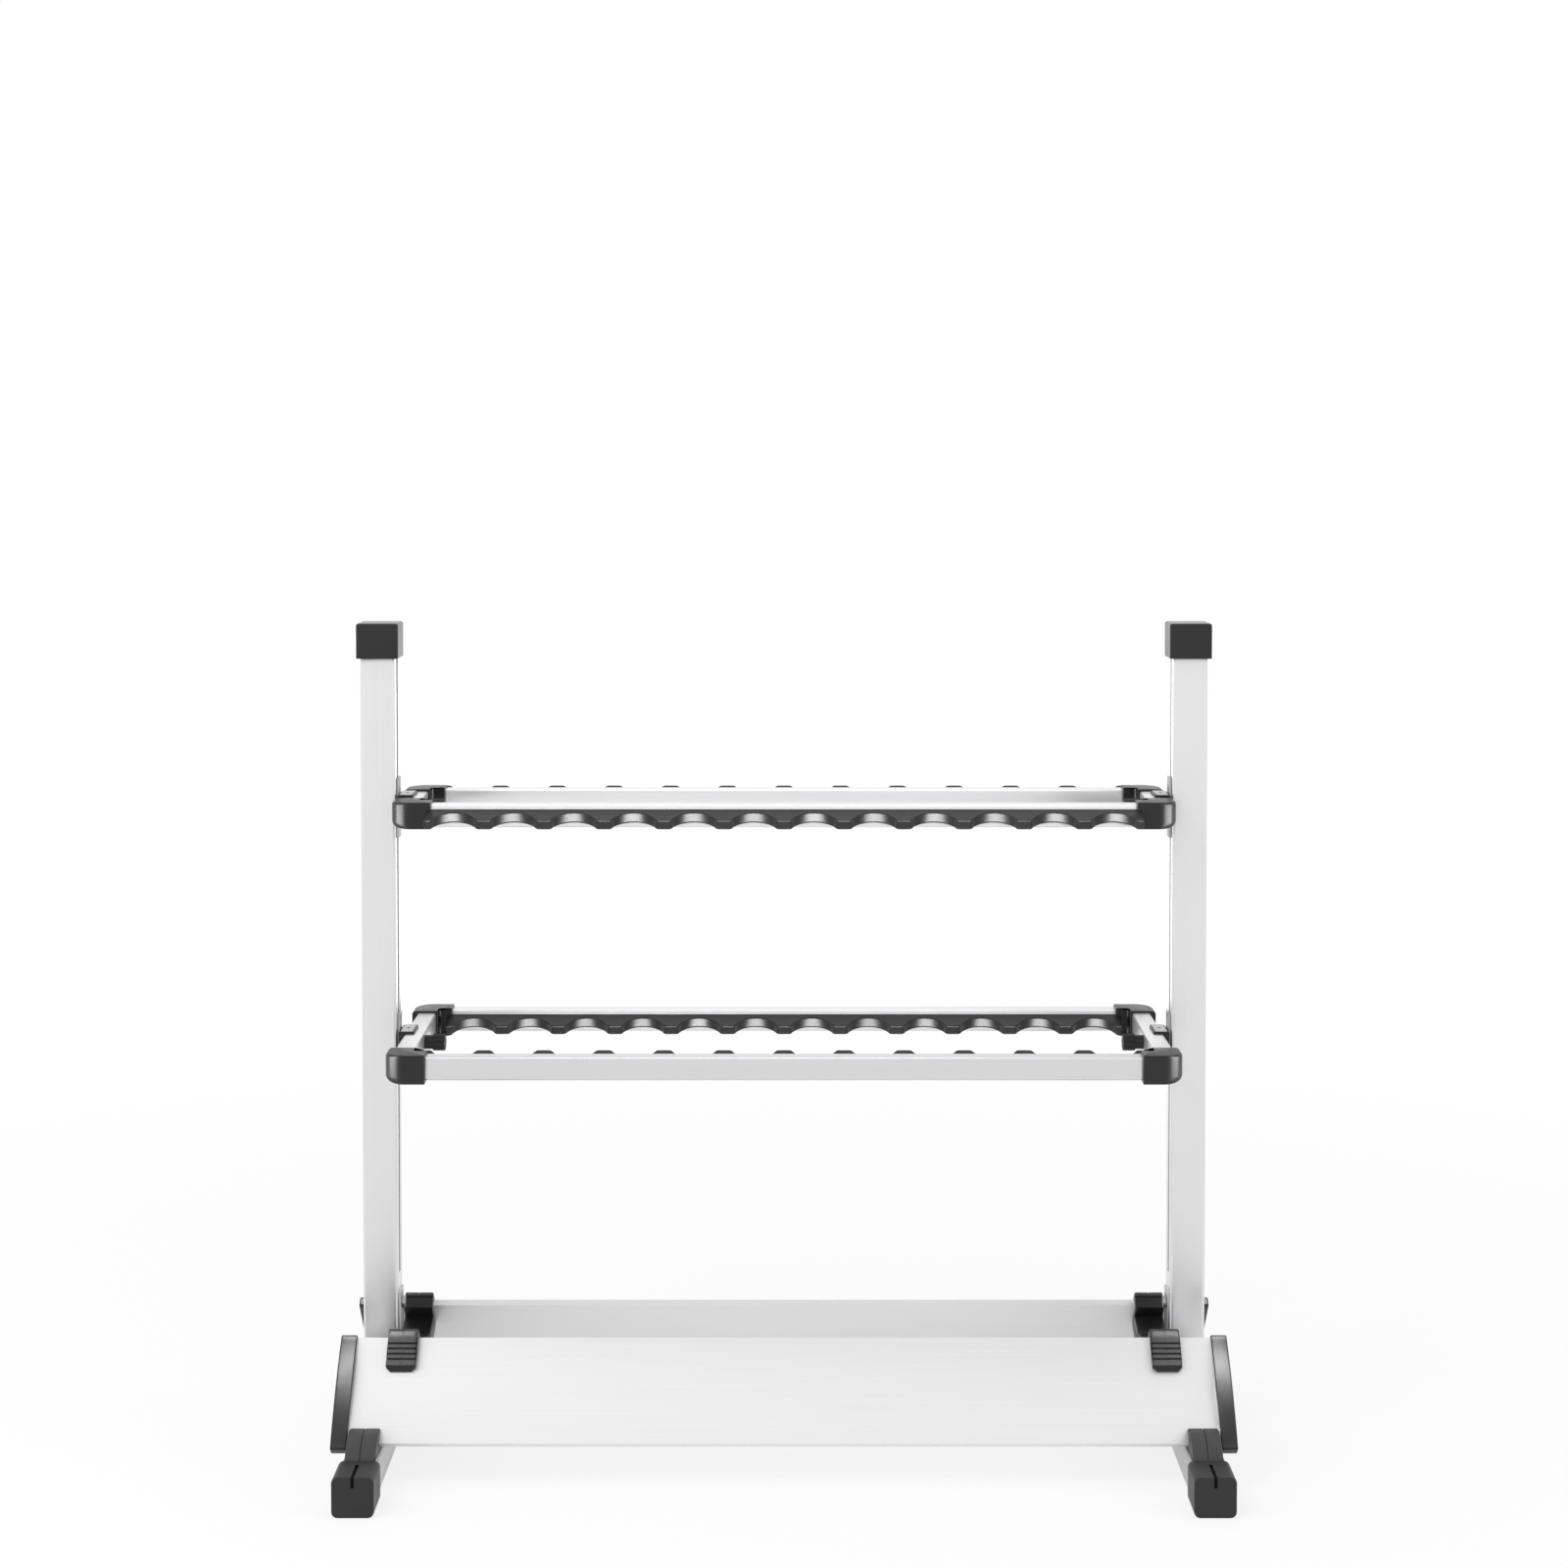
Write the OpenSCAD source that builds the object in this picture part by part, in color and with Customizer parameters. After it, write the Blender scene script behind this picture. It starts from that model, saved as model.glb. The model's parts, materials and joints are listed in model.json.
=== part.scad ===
// Free-standing rod rack: two posts on foot tubes, two clamped holder frames with
// scalloped grips, and two sloping butt plates held by toe clips and ribbed latches.
// Millimetres. X runs across the rack, the front is at -Y, and the floor is z = 0.

/* [Stand] */
// Distance between the middles of the two posts
post_pitch = 613.5; // [560:0.5:700]
// Height of the rack over the post caps
rack_h = 627.5; // [600:0.5:700]
// Length of a foot over its two end caps
foot_l = 336; // [330:1:380]

/* [Posts] */
// Width of a post and of its foot tube
post_w = 26; // [24:0.5:32]
// Depth of a post, front to back
post_d = 29; // [26:0.5:34]
// Wall of the posts and foot tubes
post_wall = 1.5; // [1.2:0.1:2.5]
// Radius of the edges of posts and foot tubes
post_r = 2; // [1:0.5:3]
// Width of the clamp slot in a post's inner face
slot_w = 8; // [7:0.5:9]
// Height at which the clamp slot starts
slot_from = 130; // [120:1:150]
// Height of a post cap
post_cap_h = 26.5; // [20:0.5:35]
// Wall of a post cap
post_cap_wall = 2.8; // [1.5:0.1:3.5]
// Radius of a post cap's edges
post_cap_r = 2; // [1:0.5:3]

/* [Feet] */
// Height of a foot tube
tube_h = 25; // [22:0.5:28]
// Length of a foot cap
foot_cap_l = 36; // [30:1:40]
// Side, top and bottom wall of a foot cap
foot_cap_wall = 2.1; // [1.8:0.1:3]
// Front wall of a foot cap
foot_cap_front = 5; // [4:0.5:8]
// Radius of a foot cap's edges
foot_cap_r = 4.5; // [2:0.5:6]
// Width of the slit over a foot cap
slit_w = 2; // [1:0.5:3]
// Depth of the slit
slit_depth = 1.6; // [0.8:0.1:1.8]
// Length of the slit along the cap's top
slit_l = 27; // [20:1:30]
// How far the slit runs down the cap's front
slit_drop = 7.5; // [6.5:0.5:10]

/* [Post strap] */
// Thickness of the steel strap that ties post and foot
strap_t = 1.5; // [1:0.1:2]
// Width of the strap
strap_w = 22; // [20:0.5:24]
// Distance of the strap's lower end above the foot tube's underside
strap_low = 3; // [2:0.5:5]
// Height of the strap's upper end
strap_top = 117; // [112:1:120]
// Radius of the screws
screw_r = 2.5; // [2:0.1:3]
// How far a screw reaches into the post
screw_l = 8; // [5:0.5:12]
// Radius of the screw heads
screw_head_r = 4.6; // [4:0.1:5]
// Height of the screw heads
screw_head_h = 2.6; // [2:0.1:3]
// Radius of the hexagon socket in a screw head, over its corners
hex_r = 1.5; // [1.2:0.1:2]
// Depth of the hexagon socket
hex_depth = 1.3; // [1:0.1:1.6]
// Distance of the two foot screws from the post's middle
foot_screw_y = 6; // [5.5:0.5:7.5]
// Distance of the outermost strap screws from the yoke and from the strap's upper end
strap_screw_set = 10; // [8:0.5:12]

/* [Butt plates] */
// Length of a plate up its slope
plate_l = 84; // [78:0.5:90]
// Thickness of a plate
plate_t = 5; // [4:0.5:6]
// Skin of the hollow plate
plate_skin = 1.1; // [0.9:0.1:1.4]
// Number of hollow cells in a plate
plate_cells = 5; // [3:1:7]
// Angle of the plates to the floor
plate_slope = 46.5; // [44:0.5:49]
// Distance from the foot cap's back to a plate's lower edge
plate_setback = 25; // [22:0.5:30]
// Height of a plate's lower edge above the foot tube
plate_lift = 2.6; // [1:0.1:4]
// How far a plate reaches past the outer face of a post
plate_reach = 10; // [8:0.5:14]
// Width of the strip on a plate's end that shows
strip_w = 12; // [9:0.5:14]
// Wall of the end strips
strip_wall = 1.5; // [1:0.1:2.5]
// Wall of an end strip at its lower end
strip_toe = 5; // [2:0.5:6]
// Radius of an end strip's corners
strip_r = 2; // [1:0.5:2.5]
// Crown of an end strip's outer face
strip_crown = 2.5; // [1:0.5:4]

/* [Toe clips] */
// Width of a toe clip
toe_w = 22; // [18:0.5:24]
// Length of a toe clip along the foot
toe_l = 43.5; // [41:0.5:46]
// Radius of its domed outside
toe_r = 30; // [29:0.5:32]
// How far the dome's middle lies behind the plate's lower edge
dome_back = 1.6; // [0:0.1:3]
// How far the clip covers a plate's lower edge
toe_cover = 11; // [8:0.5:13]
// Width and depth of the mould seam along the dome
seam_w = 0.8; // [0.4:0.1:1.2]
// Radius of the boss that snaps into the foot tube
boss_r = 4; // [3:0.5:5]
// Distance of the boss behind the clip's front
boss_set = 13; // [10:0.5:16]
// How far the boss reaches past the foot tube's wall
boss_reach = 2; // [1:0.5:4]

/* [Latches] */
// Width of a latch
latch_w = 22; // [20:0.5:24]
// Distance of a latch's middle inwards from a post's middle
latch_inset = 22; // [20:0.5:24]
// Length of the latch lever below the plate's upper edge
lever_l = 28; // [26:0.5:31]
// Thickness of the lever
lever_t = 4.4; // [4:0.1:5]
// Radius of the lever's lower corners
lever_r = 1.2; // [0.5:0.1:2]
// Radius of the lever's round head about its pin
hood_r = 2.7; // [2.6:0.1:3]
// How far below the pin the lever's face starts to bend towards its head
crest_set = 6; // [5:0.5:8]
// Radius of the hinge pin
pin_r = 1; // [0.8:0.1:1.1]
// Height of the hinge pin over the plate's face
pin_n = 1.5; // [1.2:0.1:1.8]
// Radius of the yoke's eye round the pin
eye_r = 1.8; // [1.6:0.1:1.9]
// Width of the yoke's eye
eye_w = 8; // [6:0.5:12]
// Distance from the pin to the back of the eye's neck
neck_back = 1; // [0.6:0.1:1.2]
// Number of grooves across the lever
groove_n = 4; // [2:1:4]
// Distance between the grooves
groove_pitch = 4.2; // [3.6:0.1:4.4]
// Width of a groove
groove_w = 1.9; // [1.2:0.1:2.4]
// Depth of a groove
groove_depth = 1.1; // [0.6:0.1:1.6]
// Distance of the first groove below the plate's upper edge
groove_set = 6.5; // [6:0.5:9]
// Wall of the yoke behind the plate
yoke_t = 5; // [4:0.5:6]
// How far the yoke backs the plate below its upper edge
yoke_lap = 25; // [23:0.5:27]
// Width and height of the lip along the yoke's lower edge
lip_w = 6; // [4:0.5:8]
lip_t = 2; // [1:0.5:3]
// Width of the yoke's arm where it meets the plate's back
arm_w = 18; // [14:0.5:20]
// Height at which the yoke's body starts on the post
body_from = 47; // [44:1:52]
// Height of the yoke's body
body_h = 31; // [29:1:34]
// How far the yoke's body stands out past the post, front and back
body_over = 1; // [0.5:0.5:3]
// Distance of the yoke's screws from the ends of its body
yoke_screw_set = 8; // [6:0.5:9]

/* [Holder frames] */
// Height of the lower frame's middle
lower_z = 307; // [280:1:330]
// Height of the upper frame's middle
upper_z = 487; // [460:0.5:510]
// Depth of the lower frame over its corners
lower_d = 200; // [190:1:220]
// Depth of the upper frame over its corners
upper_d = 114; // [110:1:130]
// Height of a rail
rail_h = 17; // [15:0.5:19]
// Depth of a rail
rail_d = 15; // [13:0.5:17]
// Width of a side bar
bar_w = 14; // [12:0.5:15]
// Wall of rails and bars
rail_wall = 1.4; // [1:0.1:2]
// Radius of the rails' edges
rail_r = 1.6; // [1:0.1:2.5]
// Length of a corner's arm
corner_l = 30; // [26:0.5:34]
// Wall of a corner round the tubes
corner_wall = 1.5; // [1.2:0.1:2]
// Wall of a corner outside the side bar
corner_side = 4.4; // [3.5:0.1:5]
// Floor of the lower frame's corners
lower_floor = 2.6; // [1.5:0.1:3]
// Floor of the upper frame's corners
upper_floor = 1.2; // [1:0.1:3]
// Outer radius of a corner, seen from above
corner_r = 14; // [10:0.5:14.5]
// Radius of a corner's edges, seen along the side bar
corner_edge_r = 3; // [1:0.5:4]
// How far the tubes go into a corner
socket_l = 13; // [10:0.5:13.5]

/* [Grips] */
// Number of rod places along a grip
places = 12; // [8:1:14]
// How far a grip's ends lap over the corners
grip_lap = 3.7; // [2:0.1:5]
// Reach of the grip's tips from the rail
tip_reach = 15.5; // [13:0.5:17]
// Reach of the hollows from the rail
hollow_reach = 4.5; // [3.5:0.5:5.5]
// Half width of a tip's flat end
tip_flat = 3.5; // [2:0.5:4]
// Radius of a tip's shoulders
tip_r = 3; // [2:0.5:4]
// Height of the grip at the rail, above the rail's middle
grip_top = 5.1; // [4:0.1:6]
// Drop of the grip's top from rail to tip
grip_drop = 6; // [4:0.1:7]
// Thickness of the grip at the tips
grip_t = 7.5; // [6:0.1:8]
// Rise of the grip's underside from the tips to the rail
grip_rise = 4; // [2:0.1:4.5]

/* [Clamps] */
// Depth of a saddle, front to back
saddle_d = 28; // [24:0.5:32]
// How much of the side bar's width a saddle covers
saddle_cover = 7.5; // [5:0.5:10]
// Wall of the saddle over the side bar
saddle_wall = 2; // [1.5:0.1:3]
// Space between a side bar and the post, filled by the saddle
saddle_gap = 6; // [5:0.1:7]
// Radius of the clamp stud
stud_r = 3; // [2.5:0.1:3.2]
// Radius of the knob's head
knob_r = 6.6; // [6:0.1:7.5]
// Length of the knob's head
knob_l = 9.5; // [8:0.5:11]
// Radius of the knob's hub
hub_r = 5.4; // [4.6:0.1:5.8]
// Length of the knob's hub
hub_l = 6; // [4:0.5:8]
// Number of lobes on the knob
lobes = 6; // [5:1:8]
// Radius of the hollows between the lobes
hollow_cut_r = 2.2; // [1.8:0.1:2.4]
// Distance of the middles of these hollows outside the knob's head
hollow_cut_out = 1; // [0.8:0.1:1.4]
// How far the stud runs past the nut
stud_end = 3; // [2:0.5:5]
// Thickness of the nut that slides in the post
nut_t = 5; // [4:0.5:6]
// Width and height of the nut
nut_w = 18; // [14:0.5:20]
// Thickness of the steel pad between saddle and post
pad_t = 1.3; // [1:0.1:1.5]
// Width of the pad
pad_w = 14; // [11:0.5:20]
// Height of the pad
pad_h = 46; // [36:1:60]

/* [Fits] */
// Space between pieces that slide over each other
slide_gap = 0.3; // [0.2:0.05:0.4]
// Space all round a tube in its socket
socket_gap = 0.1; // [0.05:0.01:0.2]
// Space all round a shaft in its hole
shaft_gap = 0.06; // [0.02:0.01:0.09]

/* [Hidden] */
$fn = 48;
alu = [0.86, 0.86, 0.87];
black = [0.13, 0.13, 0.14];
steel = [0.62, 0.62, 0.64];
// Overlap of cutters past the face that they cut
cut = 1;

post_x = post_pitch / 2;
post_in = post_x - post_w / 2;
post_out = post_x + post_w / 2;
tube_z0 = foot_cap_wall + socket_gap;
tube_top = tube_z0 + tube_h;
tube_half = foot_l / 2 - foot_cap_front - socket_gap;
foot_cap_w = post_w + 2 * (foot_cap_wall + socket_gap);
foot_cap_h = tube_h + 2 * (foot_cap_wall + socket_gap);
post_top = rack_h - post_cap_wall - socket_gap;
strap_face = post_in - strap_t;

slope_cos = cos(plate_slope);
slope_sin = sin(plate_slope);
plate_y = foot_l / 2 - foot_cap_l - plate_setback;
plate_z = tube_top + plate_t * slope_cos + plate_lift;
plate_half = post_out + plate_reach;
toe_front = foot_l / 2 - foot_cap_l - 2 * slide_gap;
dome_y = plate_y - dome_back;
dome_z = tube_top - sqrt(toe_r * toe_r - pow(toe_front - dome_y, 2));
boss_y = toe_front - boss_set;

latch_x = post_x - latch_inset;
latch_in = latch_x - latch_w / 2;
latch_out = latch_x + latch_w / 2;
barrel_u = plate_l + slide_gap + hood_r;
lever_face = slide_gap + lever_t;
crest_u = barrel_u - crest_set;
// The lever's face bends on this radius, and meets the round head at meet_u
face_rise = lever_face - pin_n;
bend_r = (crest_set * crest_set + face_rise * face_rise - hood_r * hood_r)
  / (2 * (face_rise - hood_r));
meet_u = crest_u + bend_r * crest_set / (bend_r - hood_r);
yoke_in = plate_t + slide_gap;
yoke_out = yoke_in + yoke_t;
yoke_low = plate_l - yoke_lap;
yoke_high = barrel_u + hood_r;
body_half = post_d / 2 + body_over;
body_to = body_from + body_h;
yoke_screws_z = [body_from + yoke_screw_set, body_to - yoke_screw_set];
strap_screws_z = [body_from - strap_screw_set, strap_top - strap_screw_set];
foot_screw_z = tube_z0 + tube_h / 2;

corner_shell = corner_wall + socket_gap;
bar_out = post_in - saddle_gap;
bar_in = bar_out - bar_w;
corner_out = bar_out + socket_gap + corner_side;
rail_end = bar_in - corner_wall;
corner_end = corner_out - corner_l;
grip_half = corner_end + grip_lap;
grip_step = corner_shell + slide_gap;
pitch = 2 * grip_half / places;
arc_a = pitch / 2 - tip_flat;
arc_d = tip_reach - hollow_reach;
hollow_r = (arc_a * arc_a + arc_d * arc_d) / (2 * arc_d) - tip_r;
shoulder_y = tip_reach - tip_r + tip_r * (hollow_reach + hollow_r - tip_reach + tip_r)
  / (hollow_r + tip_r);
pad_face = post_in - slide_gap - pad_t;
nut_face = post_in + post_wall + slide_gap;
knob_face = bar_in - slide_gap;

// A rectangle with round corners, middle at the origin
module round_rect(w, h, r) {
  square([w - 2 * r, h], center = true);
  square([w, h - 2 * r], center = true);
  for (x = [-1, 1], y = [-1, 1])
    translate([x * (w / 2 - r), y * (h / 2 - r)]) circle(r);
}

// A block between two corners
module block(low, high) {
  translate(low) cube(high - low);
}

// A profile drawn in Y and Z, carried along X about the middle x
module along_x(x, w) {
  translate([x - w / 2, 0, 0]) rotate([90, 0, 90]) linear_extrude(w) children();
}

// Right-hand, front pieces placed on any side: sx and sy are 1 or -1
module placed(sx, sy) {
  mirror([sx < 0 ? 1 : 0, 0, 0]) mirror([0, sy < 0 ? 1 : 0, 0]) children();
}

// The plate's own axes: Y runs up the slope from its lower outer edge, Z is outwards
module on_slope() {
  translate([0, -plate_y, plate_z]) rotate([plate_slope, 0, 0]) children();
}

// A hole or shaft along X
module rod_x(x0, x1, y, z, r) {
  translate([x0, y, z]) rotate([0, 90, 0]) cylinder(x1 - x0, r, r);
}

// Foot tube

module foot_tube() {
  color(alu) difference() {
    translate([post_x, tube_half, tube_z0 + tube_h / 2]) rotate([90, 0, 0])
      linear_extrude(2 * tube_half) difference() {
        round_rect(post_w, tube_h, post_r);
        square([post_w - 2 * post_wall, tube_h - 2 * post_wall], center = true);
      }
    for (y = [-1, 1]) {
      rod_x(post_in - cut, post_in + post_wall + cut, y * foot_screw_y, foot_screw_z,
        screw_r + shaft_gap);
      translate([post_x, y * boss_y, tube_top - post_wall - cut])
        cylinder(post_wall + 2 * cut, boss_r + shaft_gap, boss_r + shaft_gap);
    }
  }
}

// Foot cap; its outline is longer than the cap, so that only its front edges are round

module foot_cap() {
  y0 = -foot_l / 2;
  y1 = y0 + foot_cap_l;
  long = foot_cap_l + foot_cap_r;
  color(black) difference() {
    intersection() {
      translate([post_x, y1, foot_cap_h / 2]) rotate([90, 0, 0])
        linear_extrude(foot_cap_l) round_rect(foot_cap_w, foot_cap_h, foot_cap_r);
      translate([post_x, y0 + long / 2, 0]) linear_extrude(foot_cap_h)
        round_rect(foot_cap_w, long, foot_cap_r);
      along_x(post_x, foot_cap_w) translate([y0 + long / 2, foot_cap_h / 2])
        round_rect(long, foot_cap_h, foot_cap_r);
    }
    block([post_in - socket_gap, y0 + foot_cap_front, foot_cap_wall],
      [post_out + socket_gap, y1 + cut, tube_top + socket_gap]);
    block([post_x - slit_w / 2, y0 - cut, foot_cap_h - slit_depth],
      [post_x + slit_w / 2, y0 + slit_l, foot_cap_h + cut]);
    block([post_x - slit_w / 2, y0 - cut, foot_cap_h - slit_drop],
      [post_x + slit_w / 2, y0 + slit_depth, foot_cap_h + cut]);
  }
}

// Post and its cap

module post() {
  color(alu) difference() {
    translate([post_x, 0, tube_top]) linear_extrude(post_top - tube_top) difference() {
      round_rect(post_w, post_d, post_r);
      square([post_w - 2 * post_wall, post_d - 2 * post_wall], center = true);
    }
    block([post_in - cut, -slot_w / 2, slot_from],
      [post_in + post_wall + cut, slot_w / 2, post_top + cut]);
    for (z = concat(yoke_screws_z, strap_screws_z))
      rod_x(post_in - cut, post_in + post_wall + cut, 0, z, screw_r + shaft_gap);
  }
}

module post_cap() {
  w = post_w + 2 * (post_cap_wall + socket_gap);
  d = post_d + 2 * (post_cap_wall + socket_gap);
  z0 = rack_h - post_cap_h;
  color(black) difference() {
    intersection() {
      translate([post_x, 0, z0]) linear_extrude(post_cap_h) round_rect(w, d, post_cap_r);
      translate([post_x, d / 2, z0 + post_cap_h / 2]) rotate([90, 0, 0])
        linear_extrude(d) round_rect(w, post_cap_h, post_cap_r);
      along_x(post_x, w) translate([0, z0 + post_cap_h / 2]) round_rect(d, post_cap_h, post_cap_r);
    }
    translate([post_x, 0, z0 - cut]) linear_extrude(post_cap_h - post_cap_wall + cut)
      square([post_w + 2 * socket_gap, post_d + 2 * socket_gap], center = true);
  }
}

// Strap that ties post and foot tube, with its screws

module post_strap() {
  color(steel) difference() {
    block([strap_face, -strap_w / 2, tube_z0 + strap_low], [post_in, strap_w / 2, strap_top]);
    for (z = concat(yoke_screws_z, strap_screws_z))
      rod_x(strap_face - cut, post_in + cut, 0, z, screw_r + shaft_gap);
    for (y = [-1, 1])
      rod_x(strap_face - cut, post_in + cut, y * foot_screw_y, foot_screw_z, screw_r + shaft_gap);
  }
}

// A screw along X whose head sits on the face x
module screw(x, y, z) {
  rod_x(x, post_in + screw_l, y, z, screw_r);
  difference() {
    rod_x(x - screw_head_h, x, y, z, screw_head_r);
    translate([x - screw_head_h - cut, y, z]) rotate([0, 90, 0])
      cylinder(hex_depth + cut, hex_r, hex_r, $fn = 6);
  }
}

module base_screws() {
  color(steel) for (sx = [-1, 1]) placed(sx, 1) {
    for (z = strap_screws_z) screw(strap_face, 0, z);
    for (z = yoke_screws_z) screw(latch_in, 0, z);
    for (y = [-1, 1]) screw(strap_face, y * foot_screw_y, foot_screw_z);
  }
}

// Butt plate and its end strips

module butt_plate() {
  cell = (plate_l - plate_skin) / plate_cells;
  color(alu) on_slope() difference() {
    block([-plate_half, 0, -plate_t], [plate_half, plate_l, 0]);
    for (i = [0:plate_cells - 1])
      block([-plate_half - cut, plate_skin + i * cell, plate_skin - plate_t],
        [plate_half + cut, (i + 1) * cell, -plate_skin]);
  }
}

module plate_end() {
  low = -strip_toe - socket_gap;
  high = plate_l + strip_wall;
  thick = plate_t + 2 * (strip_wall + socket_gap);
  x0 = plate_half + socket_gap + strip_wall - strip_w;
  half = (high - low) / 2;
  crown_r = (half * half + strip_crown * strip_crown) / (2 * strip_crown);
  color(black) on_slope() difference() {
    along_x(x0 + strip_w / 2, strip_w) intersection() {
      translate([(low + high) / 2, (strip_crown - plate_t) / 2])
        round_rect(high - low, thick + strip_crown, strip_r);
      translate([(low + high) / 2, strip_wall + socket_gap + strip_crown - crown_r])
        circle(crown_r, $fn = 200);
    }
    block([x0 - cut, -socket_gap, -plate_t - socket_gap],
      [plate_half + socket_gap, plate_l + socket_gap, socket_gap]);
  }
}

// Toe clip that holds a plate's lower edge on the foot tube

module dome(r) {
  translate([-dome_y, dome_z]) circle(r, $fn = 96);
}

module toe_outline() {
  difference() {
    intersection() {
      dome(toe_r);
      translate([-toe_front, tube_top]) square([toe_l, toe_r]);
    }
    translate([-plate_y, plate_z]) rotate(plate_slope) {
      translate([-slide_gap, -plate_t - slide_gap]) square([2 * toe_r, plate_t + 2 * slide_gap]);
      translate([toe_cover, -plate_t - slide_gap]) square([2 * toe_r, 2 * toe_r]);
    }
  }
}

module toe_clip() {
  color(black) {
    difference() {
      along_x(post_x, toe_w) toe_outline();
      along_x(post_x, seam_w) difference() {
        dome(toe_r + cut);
        dome(toe_r - seam_w);
      }
    }
    translate([post_x, -boss_y, tube_top - post_wall - boss_reach])
      cylinder(post_wall + boss_reach + cut, boss_r, boss_r);
  }
}

// Yoke: its body is screwed to the post, its arms carry a head behind each plate's upper
// edge, and the latch lever turns on the eye over the head

module yoke_head() {
  along_x(latch_x, latch_w) {
    translate([yoke_low, -yoke_out]) square([yoke_high - yoke_low, yoke_t]);
    translate([yoke_low, -yoke_out - lip_t]) square([lip_w, lip_t]);
    translate([plate_l + slide_gap, -yoke_out])
      square([yoke_high - plate_l - slide_gap, yoke_out + pin_n - hood_r - slide_gap]);
  }
  difference() {
    along_x(latch_x, eye_w) {
      translate([barrel_u - eye_r, -yoke_in]) square([eye_r + neck_back, yoke_in + pin_n]);
      translate([barrel_u, pin_n]) circle(eye_r);
    }
    rod_x(latch_in, latch_out, barrel_u, pin_n, pin_r + shaft_gap);
  }
}

// A point of the plate's own axes, in Y and Z
function off_slope(u, n) = [
  -plate_y + u * slope_cos - n * slope_sin, plate_z + u * slope_sin + n * slope_cos
];

module yoke_arm_outline() {
  polygon([
    [-body_half + cut, body_from + lip_t], off_slope(yoke_low, -yoke_out),
    off_slope(yoke_low + arm_w, -yoke_out), [-body_half + cut, body_to - lip_w]
  ]);
}

module latch_yoke() {
  color(black) difference() {
    union() {
      block([latch_in, -body_half, body_from], [strap_face, body_half, body_to]);
      for (sy = [-1, 1]) placed(1, sy) {
        on_slope() yoke_head();
        difference() {
          along_x(latch_x, latch_w) yoke_arm_outline();
          block([strap_face, -body_half, 0], [post_x, body_half, rack_h]);
        }
      }
    }
    for (z = yoke_screws_z) rod_x(latch_in - cut, post_x, 0, z, screw_r + shaft_gap);
  }
}

module latch_pins() {
  color(steel) for (sx = [-1, 1], sy = [-1, 1]) placed(sx, sy) on_slope()
    rod_x(latch_in + slide_gap, latch_out - slide_gap, barrel_u, pin_n, pin_r);
}

// Latch lever: its face bends on a long radius into the round head about the pin. The
// parts of the outline meet at meet_u, where the long arc and the head's arc touch.

module lever_outline() {
  end = plate_l - lever_l;
  translate([end + lever_r, slide_gap]) square([crest_u - end - lever_r, lever_t]);
  translate([end, slide_gap + lever_r]) square([2 * lever_r, lever_t - 2 * lever_r]);
  for (n = [slide_gap + lever_r, lever_face - lever_r])
    translate([end + lever_r, n]) circle(lever_r);
  intersection() {
    translate([crest_u, lever_face - bend_r]) circle(bend_r, $fn = 240);
    translate([crest_u, slide_gap]) square([meet_u - crest_u, lever_t]);
  }
  intersection() {
    translate([barrel_u, pin_n]) circle(hood_r);
    union() {
      translate([meet_u, pin_n - hood_r]) square(2 * hood_r);
      translate([barrel_u - hood_r, pin_n - hood_r]) square([2 * hood_r, hood_r]);
    }
  }
}

module latch_lever() {
  slot_half = eye_w / 2 + slide_gap;
  color(black) on_slope() difference() {
    along_x(latch_x, latch_w) lever_outline();
    for (i = [0:groove_n - 1])
      block([latch_in - cut, plate_l - groove_set - i * groove_pitch - groove_w,
        lever_face - groove_depth],
        [latch_out + cut, plate_l - groove_set - i * groove_pitch, lever_face + cut]);
    rod_x(latch_in - cut, latch_out + cut, barrel_u, pin_n, pin_r + shaft_gap);
    rod_x(latch_x - slot_half, latch_x + slot_half, barrel_u, pin_n, eye_r + slide_gap);
    block([latch_x - slot_half, barrel_u - eye_r - slide_gap, -yoke_in],
      [latch_x + slot_half, yoke_high + cut, pin_n]);
    block([latch_x - slot_half, barrel_u, pin_n - cut],
      [latch_x + slot_half, yoke_high + cut, pin_n + neck_back + slide_gap]);
  }
}

// Holder frame tubes

module rail(d, z) {
  color(alu) translate([-rail_end, corner_shell + rail_d / 2 - d / 2, z]) rotate([90, 0, 90])
    linear_extrude(2 * rail_end) difference() {
      round_rect(rail_d, rail_h, rail_r);
      square([rail_d - 2 * rail_wall, rail_h - 2 * rail_wall], center = true);
    }
}

module side_bar(d, z) {
  half = d / 2 - corner_l + socket_l - socket_gap;
  color(alu) difference() {
    translate([(bar_in + bar_out) / 2, half, z]) rotate([90, 0, 0])
      linear_extrude(2 * half) difference() {
        round_rect(bar_w, rail_h, rail_r);
        square([bar_w - 2 * rail_wall, rail_h - 2 * rail_wall], center = true);
      }
    rod_x(bar_in - cut, bar_out + cut, 0, z, stud_r + shaft_gap);
  }
}

// Corner that joins a rail and a side bar: an L seen from above, round outside

module corner_plan(y0) {
  rail_arm = 2 * corner_shell + rail_d;
  bar_arm = corner_side + 2 * socket_gap + bar_w + corner_wall;
  difference() {
    union() {
      translate([corner_end, y0]) square([corner_l - corner_r, corner_l]);
      translate([corner_end, y0 + corner_r]) square([corner_l, corner_l - corner_r]);
      translate([corner_out - corner_r, y0 + corner_r]) circle(corner_r);
    }
    translate([corner_end - cut, y0 + rail_arm]) square([corner_l - bar_arm + cut, corner_l]);
  }
}

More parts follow.
